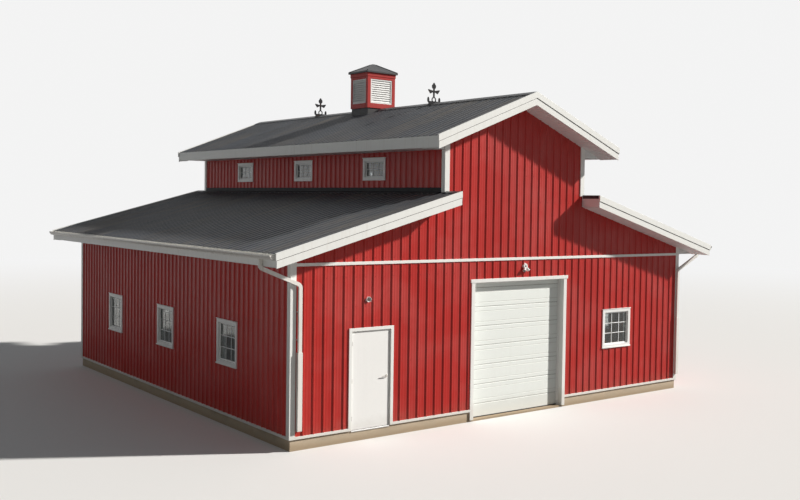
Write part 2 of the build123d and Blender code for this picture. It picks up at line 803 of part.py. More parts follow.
# Windows: outside trim, liner through the wall, and a sash around the glass.
def window_row(plane, centres, width, height):
    """Frames of a row of like windows.

    Args:
        plane: face of the wall, its sketch x along the wall and y up.
        centres: middle of each window on that face.
        width: width over the trim.
        height: height over the trim.
    Returns:
        The frames, one solid each.
    """
    hole = (width - 2 * window_trim, height - 2 * window_trim)
    clear = (hole[0] - 2 * window_liner, hole[1] - 2 * window_liner)
    with BuildPart() as row:
        with BuildSketch(plane):
            with Locations(*centres):
                Rectangle(width, height)
                Rectangle(*clear, mode=Mode.SUBTRACT)
        extrude(amount=trim_stand)
        with BuildSketch(plane):
            with Locations(*centres):
                Rectangle(*hole)
                Rectangle(*clear, mode=Mode.SUBTRACT)
        extrude(amount=-wall)
        with BuildSketch(plane.offset(-sash_setback)):
            with Locations(*centres):
                Rectangle(*clear)
                Rectangle(clear[0] - 2 * sash, clear[1] - 2 * sash, mode=Mode.SUBTRACT)
        extrude(amount=-sash_thickness)
    return row.part


def pane_row(plane, centres, width, height):
    """Glass of a row of like windows, as window_row takes them."""
    edge = 2 * (window_trim + window_liner + sash)
    with BuildPart() as row:
        with BuildSketch(plane.offset(-sash_setback - (sash_thickness - glass_thickness) / 2)):
            with Locations(*centres):
                Rectangle(width - edge, height - edge)
        extrude(amount=-glass_thickness)
    return row.part


row_offsets = [window_spacing * (n - (windows_per_side - 1) / 2) for n in range(windows_per_side)]
side_centres = [(offset, low_window_centre) for offset in row_offsets]
clerestory_centres = [(offset, clerestory_window_centre) for offset in row_offsets]
front_centres = [(front_window_x, low_window_centre)]
back_centres = [(-front_window_x, low_window_centre), (front_window_x, low_window_centre)]
low_size = (low_window_width, low_window_height)
clerestory_size = (clerestory_window_width, clerestory_window_height)

with BuildPart() as side_windows:
    add(window_row(left_face, side_centres, *low_size))
    mirror(about=Plane.YZ)

with BuildPart() as clerestory_windows:
    add(window_row(left_monitor_face, clerestory_centres, *clerestory_size))
    mirror(about=Plane.YZ)

with BuildPart() as gable_windows:
    add(window_row(front_face, front_centres, *low_size))
    add(window_row(back_face, back_centres, *low_size))

with BuildPart() as window_glass:
    add(pane_row(left_face, side_centres, *low_size))
    add(pane_row(left_monitor_face, clerestory_centres, *clerestory_size))
    mirror(about=Plane.YZ)
    add(pane_row(front_face, front_centres, *low_size))
    add(pane_row(back_face, back_centres, *low_size))

# Gutters: a K profile along each low eave, with set-in end caps and an outlet.
gutter_top = low_eave_height - gutter_drop
gutter_bottom = gutter_top - gutter_height
cap_line = roof_half_length - gutter_cap_inset
outlet_x = low_fascia + gutter_foot / 2 + gutter_wall
left_outlet_y = front - left_outlet_offset
right_outlet_y = front - right_outlet_offset
downspout_y = front - downspout_stand - downspout_depth / 2


def gutter_section():
    """Outer shape of the right gutter's section: a flat back and foot, and a moulded front."""
    with BuildSketch() as section:
        with BuildLine():
            toe = (low_fascia + gutter_foot, gutter_bottom)
            waist = (low_fascia + gutter_waist, gutter_bottom + gutter_waist_rise)
            brow = (low_fascia + gutter_width, gutter_bottom + gutter_brow_rise)
            Polyline(brow, (low_fascia + gutter_width, gutter_top), (low_fascia, gutter_top),
                     (low_fascia, gutter_bottom), toe)
            RadiusArc(toe, waist, gutter_toe_radius)
            RadiusArc(waist, brow, -gutter_brow_radius)
        make_face()
    return section.sketch


with BuildPart() as gutters:
    with BuildSketch(face(-roof_half_length)):
        add(gutter_section())
        offset(amount=-gutter_wall, kind=Kind.INTERSECTION, mode=Mode.SUBTRACT)
        with Locations((low_fascia + (gutter_width - gutter_lip + gutter_wall) / 2, gutter_top)):
            Rectangle(gutter_width - gutter_lip - gutter_wall, 3 * gutter_wall, mode=Mode.SUBTRACT)
    extrude(amount=-2 * roof_half_length)
    for near in (-cap_line, cap_line - gutter_wall):
        with BuildSketch(face(near)):
            add(gutter_section())
        extrude(amount=-gutter_wall)
    mirror(about=Plane.YZ)
    with BuildSketch(Plane.XY.offset(gutter_bottom)):
        with Locations((-outlet_x, left_outlet_y), (outlet_x, right_outlet_y)):
            Rectangle(gutter_foot - 4 * gutter_wall, downspout_depth - 2 * gutter_wall)
    extrude(amount=gutter_wall, mode=Mode.SUBTRACT)


# Downspouts: from the outlet, back to the wall on a slant, down, and into a wider sleeve.
def downspout(outlet_y, drop, x, knee_height, behind):
    """Downspout on the right of the barn.

    Args:
        outlet_y: where it hangs under the gutter.
        drop: how far below the gutter its upper bend is.
        x: middle of its upright run.
        knee_height: height of its lower bend.
        behind: how far proud of the wall the surface stands that it is strapped to.
    Returns:
        The pipe with its sleeve and straps, one solid.
    """
    with BuildPart() as spout:
        with BuildLine() as route:
            FilletPolyline((outlet_x, outlet_y, gutter_bottom),
                           (outlet_x, outlet_y, gutter_bottom - drop),
                           (x, downspout_y, knee_height),
                           (x, downspout_y, sleeve_bottom + sleeve_mouth),
                           radius=downspout_bend)
        with BuildSketch(Plane.XY.offset(gutter_bottom)):
            with Locations((outlet_x, outlet_y)):
                Rectangle(downspout_width, downspout_depth)
        sweep(path=route.line)
        with BuildSketch(Plane.XY.offset(sleeve_bottom)):
            with Locations((x, downspout_y)):
                Rectangle(sleeve_width, sleeve_depth)
        extrude(amount=sleeve_top - sleeve_bottom)
        with BuildSketch(Plane.XY.offset(sleeve_bottom)):
            with Locations((x, downspout_y)):
                Rectangle(sleeve_width - 2 * sleeve_wall, sleeve_depth - 2 * sleeve_wall)
        extrude(amount=sleeve_mouth, mode=Mode.SUBTRACT)
        for height in strap_heights:
            with BuildSketch(Plane.XY.offset(height)):
                with Locations((x, front - (behind + downspout_stand) / 2)):
                    Rectangle(downspout_width, downspout_stand - behind)
            extrude(amount=strap_height)
    return spout.part


with BuildPart() as downspouts:
    add(downspout(left_outlet_y, left_outlet_drop, left_downspout_x, left_knee_height, 0))
    mirror(about=Plane.YZ, mode=Mode.REPLACE)
    add(downspout(right_outlet_y, right_outlet_drop, right_downspout_x, right_knee_height,
                  trim_stand))

# Cupola: a curb over the ridge, a frame of posts and rails, louvres and a hip roof.
half_cupola = cupola_size / 2
cupola_bottom = upper_z(0) + cupola_rise
curb_size = cupola_size - 2 * cupola_curb_inset
louvre_bottom = cupola_bottom + cupola_rail
louvre_top = louvre_bottom + cupola_louvre_height
cornice_bottom = louvre_top + cupola_top_rail
cornice_top = cornice_bottom + cupola_cornice_height
cornice_size = cupola_size + 2 * cupola_cornice_stand
louvre_width = cupola_size - 2 * cupola_post
cupola_inner = cupola_size - 2 * cupola_board

with BuildPart() as cupola_curb:
    with BuildSketch(face(-curb_size / 2)):
        Polygon((-curb_size / 2, upper_z(curb_size / 2)), (0, upper_z(0)),
                (curb_size / 2, upper_z(curb_size / 2)), (curb_size / 2, cupola_bottom),
                (-curb_size / 2, cupola_bottom))
    extrude(amount=-curb_size)
    with BuildSketch(Plane.XY.offset(cupola_bottom)):
        Rectangle(curb_size - 2 * cupola_board, curb_size - 2 * cupola_board)
    extrude(amount=-cupola_size, mode=Mode.SUBTRACT)

with BuildPart() as cupola_body:
    with BuildSketch(Plane.XY.offset(cupola_bottom)):
        Rectangle(cupola_size, cupola_size)
    extrude(amount=cornice_top - cupola_bottom)
    with BuildSketch(Plane.XY.offset(cornice_bottom)):
        Rectangle(cornice_size, cornice_size)
    cornice = extrude(amount=cupola_cornice_height)
    chamfer(cornice.edges().group_by(Axis.Z)[0], length=cupola_cornice_stand - cupola_bead)
    with BuildSketch(Plane.XY.offset(cupola_bottom)):
        Rectangle(cupola_inner, cupola_inner)
    extrude(amount=cornice_top - cupola_bottom, mode=Mode.SUBTRACT)
    for turn in (0, 90):
        with BuildSketch(Plane.XZ.rotated((0, 0, turn)).offset(-cupola_size)):
            with Locations((0, (louvre_bottom + louvre_top) / 2)):
                Rectangle(louvre_width, cupola_louvre_height)
        extrude(amount=2 * cupola_size, mode=Mode.SUBTRACT)

# One louvre panel for the front, with slanted blades held in a frame, and three more turned
# from it.
louvre_face = -half_cupola + louvre_setback
blade_span = cupola_louvre_height - 2 * louvre_frame
blade_centres = [louvre_bottom + louvre_frame + blade_span * (n + 0.5) / louvre_blades
                 for n in range(louvre_blades)]

with BuildPart() as louvre_panel:
    with BuildSketch(face(louvre_face)):
        with Locations((0, (louvre_bottom + louvre_top) / 2)):
            Rectangle(louvre_width, cupola_louvre_height)
            Rectangle(louvre_width - 2 * louvre_frame, blade_span, mode=Mode.SUBTRACT)
    extrude(amount=-louvre_frame_depth)
    with BuildSketch(Plane.YZ.offset(-louvre_width / 2)):
        with Locations([(louvre_face + louvre_frame_depth / 2, centre) for centre in blade_centres]):
            Rectangle(louvre_blade_width, louvre_blade_thickness, rotation=louvre_angle)
    extrude(amount=louvre_width)

with BuildPart() as cupola_louvres:
    with PolarLocations(0, 4):
        add(louvre_panel.part)

# Its roof is a hollow pyramid with a rim over the cornice and a small cap.
rim_size = cornice_size + 2 * cupola_rim_lap
rim_top = cornice_top + cupola_rim_height

with BuildPart() as cupola_roof:
    with BuildSketch(Plane.XY.offset(cornice_top)):
        Rectangle(rim_size, rim_size)
    extrude(amount=cupola_rim_height)
    with BuildSketch(Plane.XY.offset(rim_top)):
        Rectangle(rim_size, rim_size)
    with BuildSketch(Plane.XY.offset(rim_top + cupola_roof_rise)):
        Rectangle(cupola_cap, cupola_cap)
    loft()
    with BuildSketch(Plane.XY.offset(cornice_top)):
        Rectangle(cupola_inner, cupola_inner)
    with BuildSketch(Plane.XY.offset(rim_top + cupola_roof_rise - cupola_roof_thickness)):
        Rectangle(cupola_cap / 2, cupola_cap / 2)
    loft(mode=Mode.SUBTRACT)
    with BuildSketch(Plane.XY.offset(rim_top + cupola_roof_rise)):
        Rectangle(cupola_cap, cupola_cap)
    extrude(amount=cupola_cap_height)


# Finials: flat iron plates across the ridge, each on a saddle.
def side_leaf(side):
    """Three-cornered leaf of a finial, widest at its outer end; heights are above the ridge."""
    with BuildSketch() as leaf:
        Polygon((-side * finial_stem_width / 2, finial_arm_height),
                (side * finial_leaf_foot_reach, finial_leaf_foot),
                (side * finial_leaf_reach, finial_leaf_top))
        fillet(leaf.vertices(), radius=finial_leaf_corner)
    return leaf.sketch


ridge_top = upper_z(0, -ridge_cap_thickness)
saddle_edge = upper_z(finial_saddle_width / 2, -ridge_cap_thickness)
base_top = ridge_top + finial_base_height
stem_length = finial_stem_top - finial_leg_height + finial_bar
bud_place = (finial_base_width - finial_bud_width) / 2

with BuildPart() as ridge_finials:
    with BuildSketch(face(-finial_spacing / 2 - finial_thickness / 2)):
        with Locations((0, ridge_top + finial_leg_height / 2)):
            Ellipse(finial_leg_spread / 2 + finial_bar, finial_leg_height / 2)
            Ellipse(finial_leg_spread / 2, finial_leg_height / 2 - finial_bar,
                    mode=Mode.SUBTRACT)
        Polygon((-finial_saddle_width / 2, base_top),
                (-finial_saddle_width / 2, saddle_edge),
                (0, ridge_top),
                (finial_saddle_width / 2, saddle_edge),
                (finial_saddle_width / 2, base_top))
        with Locations((0, ridge_top + finial_base_height / 2)):
            Rectangle(finial_base_width - finial_bud_width, finial_base_height)
        with Locations((-bud_place, ridge_top + finial_bud_top / 2),
                       (bud_place, ridge_top + finial_bud_top / 2)):
            Ellipse(finial_bud_width / 2, finial_bud_top / 2)
        with Locations((0, ridge_top + finial_stem_top - stem_length / 2)):
            Rectangle(finial_stem_width, stem_length)
        with Locations((0, ridge_top + finial_collar_height)):
            Circle(finial_collar_radius)
        with Locations((0, ridge_top + finial_top_bottom + finial_top_height / 2)):
            Ellipse(finial_top_width / 2, finial_top_height / 2)
        with Locations((0, ridge_top + finial_top_bottom + finial_top_height)):
            Circle(finial_ball_radius)
        with Locations((0, ridge_top)):
            add(side_leaf(-1))
            add(side_leaf(1))
    extrude(amount=-finial_thickness)
    with BuildSketch(face(-finial_spacing / 2 - finial_saddle_length / 2)):
        Polygon((0, ridge_top),
                (finial_saddle_width / 2, saddle_edge),
                (finial_saddle_width / 2, saddle_edge + finial_saddle_thickness),
                (0, ridge_top + finial_saddle_thickness),
                (-finial_saddle_width / 2, saddle_edge + finial_saddle_thickness),
                (-finial_saddle_width / 2, saddle_edge))
    extrude(amount=-finial_saddle_length)
    mirror(about=Plane.XZ)

# Lights: a lamp holder over the hinged door, and a pair of floodlights over the wide one.
with BuildPart() as outdoor_lights:
    with BuildSketch(front_face):
        with Locations((door_light_x, door_light_z)):
            Circle(door_light_radius)
    extrude(amount=door_light_depth)
    with BuildSketch(face(front - door_light_depth)):
        with Locations((door_light_x, door_light_z)):
            Circle(door_light_radius - light_rim)
    extrude(amount=-light_mouth, mode=Mode.SUBTRACT)
    with BuildSketch(front_face):
        with Locations((flood_light_x, flood_light_z)):
            Circle(flood_canopy_radius)
    extrude(amount=flood_canopy_depth, taper=flood_canopy_angle)
    for side in (1, -1):
        root = Vector(flood_light_x, front - flood_canopy_depth / 2, flood_light_z)
        aim = Vector(side * flood_lamp_spread, -flood_lamp_out, -flood_lamp_drop).normalized()
        with BuildSketch(Plane(origin=root + aim * flood_arm, z_dir=aim)):
            Circle(flood_lamp_neck)
        with BuildSketch(Plane(origin=root + aim * (flood_arm + flood_lamp_length), z_dir=aim)):
            Circle(flood_lamp_radius)
        loft()
        with BuildSketch(Plane(origin=root, z_dir=aim)):
            Circle(flood_arm_radius)
        extrude(amount=flood_arm + flood_arm_radius)
        with BuildSketch(Plane(origin=root + aim * (flood_arm + flood_lamp_length), z_dir=aim)):
            Circle(flood_lamp_radius - light_rim)
        extrude(amount=-light_mouth, mode=Mode.SUBTRACT)

# Write every piece.
pieces = {
    "floor_slab": floor_slab,
    "foundation_curb": foundation_curb,
    "front_wall_left": front_wall_left,
    "front_wall_over_door": front_wall_over_door,
    "front_wall_middle": front_wall_middle,
    "front_wall_over_overhead_door": front_wall_over_overhead_door,
    "front_wall_right": front_wall_right,
    "gable_centres": gable_centres,
    "gable_wings": gable_wings,
    "back_wall": back_wall,
    "left_wall": left_wall,
    "right_wall": right_wall,
    "left_clerestory_wall": left_clerestory_wall,
    "right_clerestory_wall": right_clerestory_wall,
    "aisle_posts": aisle_posts,
    "aisle_beams": aisle_beams,
    "low_roofs": low_roofs,
    "upper_roof_left": upper_roof_left,
    "upper_roof_right": upper_roof_right,
    "ridge_cap": ridge_cap,
    "roof_to_wall_flashings": roof_to_wall_flashings,
    "eave_fascias": eave_fascias,
    "eave_soffits": eave_soffits,
    "gable_soffits": gable_soffits,
    "rake_trims": rake_trims,
    "corner_trims": corner_trims,
    "base_trim": base_trim,
    "belt_trims": belt_trims,
    "overhead_door": overhead_door,
    "overhead_door_casing": overhead_door_casing,
    "man_door_frame": man_door_frame,
    "man_door_threshold": man_door_threshold,
    "man_door_leaf": man_door_leaf,
    "man_door_hinge_pins": man_door_hinge_pins,
    "man_door_hinge_leaves": man_door_hinge_leaves,
    "man_door_roses": man_door_roses,
    "man_door_lever": man_door_lever,
    "side_windows": side_windows,
    "clerestory_windows": clerestory_windows,
    "gable_windows": gable_windows,
    "window_glass": window_glass,
    "gutters": gutters,
    "downspouts": downspouts,
    "cupola_curb": cupola_curb,
    "cupola_body": cupola_body,
    "cupola_louvres": cupola_louvres,
    "cupola_roof": cupola_roof,
    "ridge_finials": ridge_finials,
    "outdoor_lights": outdoor_lights,
}
for name, piece in pieces.items():
    piece.part.label = name
    export_step(piece.part, f"parts/{name}.step")
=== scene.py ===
"""Red barn with a raised centre aisle: the looks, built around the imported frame."""

import logging
from collections.abc import Callable
from dataclasses import dataclass
from enum import Enum
from functools import cached_property
from math import atan, cos, radians, sin, sqrt

import bmesh
import bpy
from mathutils import Matrix, Vector


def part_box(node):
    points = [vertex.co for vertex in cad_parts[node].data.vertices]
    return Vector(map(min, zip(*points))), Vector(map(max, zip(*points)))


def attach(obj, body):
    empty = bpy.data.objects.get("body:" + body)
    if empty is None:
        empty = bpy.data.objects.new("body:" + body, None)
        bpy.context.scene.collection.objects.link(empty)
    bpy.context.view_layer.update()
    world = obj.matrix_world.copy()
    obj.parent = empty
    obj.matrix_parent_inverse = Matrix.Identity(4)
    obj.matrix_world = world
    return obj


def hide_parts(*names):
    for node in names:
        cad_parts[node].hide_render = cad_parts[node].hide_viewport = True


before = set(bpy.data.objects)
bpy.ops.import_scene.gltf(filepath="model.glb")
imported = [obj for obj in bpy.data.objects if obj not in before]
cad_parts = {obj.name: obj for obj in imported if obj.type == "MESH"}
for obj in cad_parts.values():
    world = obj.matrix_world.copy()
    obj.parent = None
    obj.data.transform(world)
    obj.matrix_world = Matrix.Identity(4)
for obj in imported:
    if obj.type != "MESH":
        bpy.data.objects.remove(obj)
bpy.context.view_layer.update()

log = logging.getLogger("barn")

# Sizes that the cladding, roofing and fittings follow, in metres, as in the part's source.
HALF_WIDTH = 5.785
HALF_LENGTH = 6.37
HALF_MONITOR = 2.11
WALL = 0.16
CURB_TOP = 0.23
BELT = 3.654
LOW_SLOPE = 3.5 / 12
UPPER_SLOPE = 5 / 12
LOW_EAVE = 3.935
SIDE_OVERHANG = 0.62
PANEL_HALF_LENGTH = 6.955
LOW_FASCIA = HALF_WIDTH + SIDE_OVERHANG
UPPER_FASCIA = HALF_MONITOR + SIDE_OVERHANG
CLERESTORY_RISE = 1.194
SOFFIT_DEPTH = 0.252
RIB_PITCH = 0.2286
WINDOW_SPACING = 3.5
FRONT_WINDOW_X = 3.406
LOW_WINDOW = (1.016, 0.985, 1.827)  # width, height and middle

# Reach of the openings, laps and gaps of the sheets at the trim, and what counts as touching.
INSIDE = 1.0
OUTSIDE = 9.0
UNDERGROUND = -1.0
COVER = 0.03
FASCIA_BACK = 0.027
CLADDING_DROP = 0.238
SOFFIT_DROP = 0.242
END_LAP = 0.002
TOUCHING = 0.00001
SIDES = ((-1, "left"), (1, "right"))
ENDS = ((-1, "front"), (1, "back"))

X = Vector((1, 0, 0))
Y = Vector((0, 1, 0))
Z = Vector((0, 0, 1))


def low_z(x: float, depth: float = 0.0) -> float:
    """Height in the low roof.

    Args:
        x: Place across the barn.
        depth: Depth below the roof's face, square to it.
    Returns:
        The height above the ground.
    """
    return LOW_EAVE + LOW_SLOPE * (LOW_FASCIA - abs(x)) - depth * sqrt(1 + LOW_SLOPE**2)


UPPER_EAVE = low_z(HALF_MONITOR) + CLERESTORY_RISE
CLERESTORY_WINDOW = (0.99, 0.542, low_z(HALF_MONITOR) + 0.552)


def upper_z(x: float, depth: float = 0.0) -> float:
    """Height in the upper roof.

    Args:
        x: Place across the barn.
        depth: Depth below the roof's face, square to it.
    Returns:
        The height above the ground.
    """
    return UPPER_EAVE + UPPER_SLOPE * (UPPER_FASCIA - abs(x)) - depth * sqrt(1 + UPPER_SLOPE**2)


def span(first: float, second: float) -> tuple[float, float]:
    """Puts two places in order."""
    return min(first, second), max(first, second)


def turn_to(way: Vector) -> Matrix:
    """Gives the turn that points Z along a way."""
    return way.to_track_quat("Z", "Y").to_matrix().to_4x4()


class Body(Enum):
    """Bodies of the frame that pieces ride on."""

    BARN = "barn"
    DOOR = "man_door"
    LEVER = "door_lever"


class Slot(Enum):
    """Material slots of the record."""

    CONCRETE = "concrete"
    CLADDING = "red_cladding"
    CUPOLA = "red_cupola"
    ROOFING = "charcoal_roofing"
    TRIM = "white_trim"
    DOORS = "white_door_steel"
    VINYL = "white_vinyl"
    GLASS = "clear_glass"
    TIMBER = "framing_timber"
    SATIN = "satin_steel"
    THRESHOLD = "threshold_aluminium"
    IRON = "black_iron"
    LIGHTS = "white_light_housing"


class Graph:
    """Writes the nodes of one material or node group."""

    def __init__(self, tree: bpy.types.NodeTree) -> None:
        """Starts on a tree.

        Args:
            tree: Node tree to write in.
        """
        self.tree = tree

    def node(self, kind: str, **settings: object) -> bpy.types.Node:
        """Adds a node.

        Args:
            kind: Type of the node.
            settings: Its properties.
        Returns:
            The node.
        """
        made = self.tree.nodes.new(kind)
        for name, value in settings.items():
            setattr(made, name, value)
        return made

    def feed(self, socket: bpy.types.NodeSocket, value: object) -> None:
        """Gives a socket its value.

        Args:
            socket: Input that takes it.
            value: Another node's output, or a plain value.
        """
        if isinstance(value, bpy.types.NodeSocket):
            self.tree.links.new(value, socket)
        elif isinstance(value, tuple) and len(value) == 3 and socket.type == "RGBA":
            socket.default_value = (*value, 1.0)
        else:
            socket.default_value = value

    def maths(self, operation: str, *values: object, clamp: bool = False) -> bpy.types.NodeSocket:
        """Adds a Math node.

        Args:
            operation: What it does.
            values: Its inputs in order.
            clamp: Whether it keeps the result from 0 to 1.
        Returns:
            Its output.
        """
        made = self.node("ShaderNodeMath", operation=operation, use_clamp=clamp)
        for socket, value in zip(made.inputs, values):
            self.feed(socket, value)
        return made.outputs[0]

    def product(self, *values: object, clamp: bool = False) -> bpy.types.NodeSocket:
        """Multiplies two values.

        Args:
            values: The two values.
            clamp: Whether it keeps the result from 0 to 1.
        Returns:
            Their product.
        """
        return self.maths("MULTIPLY", *values, clamp=clamp)

    def swing(self, value: object, share: object) -> bpy.types.NodeSocket:
        """Turns a noise about 0.5 into a swing about 0.

        Args:
            value: The noise.
            share: What the swing is multiplied by.
        Returns:
            The swing.
        """
        return self.product(self.maths("SUBTRACT", value, 0.5), share)

    def lighten(self, colour: object, factor: object) -> bpy.types.NodeSocket:
        """Makes a colour lighter or darker.

        Args:
            colour: The colour.
            factor: What its brightness is multiplied by.
        Returns:
            The new colour.
        """
        made = self.node("ShaderNodeHueSaturation")
        self.feed(made.inputs["Value"], factor)
        self.feed(made.inputs["Color"], colour)
        return made.outputs[0]

    def remap(self, value: object, low: float, high: float, to_low: float = 0.0,
              to_high: float = 1.0) -> bpy.types.NodeSocket:
        """Maps a range smoothly on another.

        Args:
            value: Value to map.
            low: Start of its range.
            high: End of its range.
            to_low: Result at the start.
            to_high: Result at the end.
        Returns:
            The mapped value.
        """
        made = self.node("ShaderNodeMapRange", interpolation_type="SMOOTHSTEP")
        for name, given in (("Value", value), ("From Min", low), ("From Max", high),
                            ("To Min", to_low), ("To Max", to_high)):
            self.feed(made.inputs[name], given)
        return made.outputs["Result"]

    def blend(self, factor: object, first: object, second: object,
              mode: str = "MIX") -> bpy.types.NodeSocket:
        """Blends two colours.

        Args:
            factor: Share of the second.
            first: Colour under it.
            second: Colour over it.
            mode: How they blend.
        Returns:
            The blended colour.
        """
        made = self.node("ShaderNodeMix", data_type="RGBA", blend_type=mode)
        self.feed(made.inputs[0], factor)
        self.feed(made.inputs[6], first)
        self.feed(made.inputs[7], second)
        return made.outputs[2]

    def stretch(self, place: object, scale: tuple[float, float, float]) -> bpy.types.NodeSocket:
        """Scales a position along each axis.

        Args:
            place: Position.
            scale: Factor on each axis.
        Returns:
            The scaled position.
        """
        made = self.node("ShaderNodeVectorMath", operation="MULTIPLY")
        self.feed(made.inputs[0], place)
        self.feed(made.inputs[1], scale)
        return made.outputs[0]

    def noise(self, place: object, scale: float, detail: float = 4.0,
              roughness: float = 0.55) -> bpy.types.NodeSocket:
        """Adds a noise texture.

        Args:
            place: Position it reads.
            scale: Spots to a metre.
            detail: Octaves.
            roughness: Weight of the finer ones.
        Returns:
            The noise, about 0.5.
        """
        made = self.node("ShaderNodeTexNoise")
        for name, given in (("Vector", place), ("Scale", scale), ("Detail", detail),
                            ("Roughness", roughness)):
            self.feed(made.inputs[name], given)
        return made.outputs["Fac"]

    def axes(self, place: object) -> bpy.types.NodeOutputs:
        """Splits a position.

        Args:
            place: Position.
        Returns:
            Its X, Y and Z outputs.
        """
        made = self.node("ShaderNodeSeparateXYZ")
        self.feed(made.inputs[0], place)
        return made.outputs

    def group(self, tree: bpy.types.NodeTree, **values: object) -> bpy.types.NodeOutputs:
        """Places a node group.

        Args:
            tree: The group.
            values: Its inputs, by name with spaces as underscores.
        Returns:
            Its outputs.
        """
        made = self.node("ShaderNodeGroup")
        made.node_tree = tree
        for name, value in values.items():
            self.feed(made.inputs[name.replace("_", " ")], value)
        return made.outputs

    def mix(self, factor: object, first: bpy.types.Node,
            second: bpy.types.Node) -> bpy.types.NodeSocket:
        """Mixes two shaders.

        Args:
            factor: Share of the second.
            first: Node of the one.
            second: Node of the other.
        Returns:
            The mixed shader.
        """
        made = self.node("ShaderNodeMixShader")
        for socket, value in zip(made.inputs, (factor, first.outputs[0], second.outputs[0])):
            self.feed(socket, value)
        return made.outputs[0]


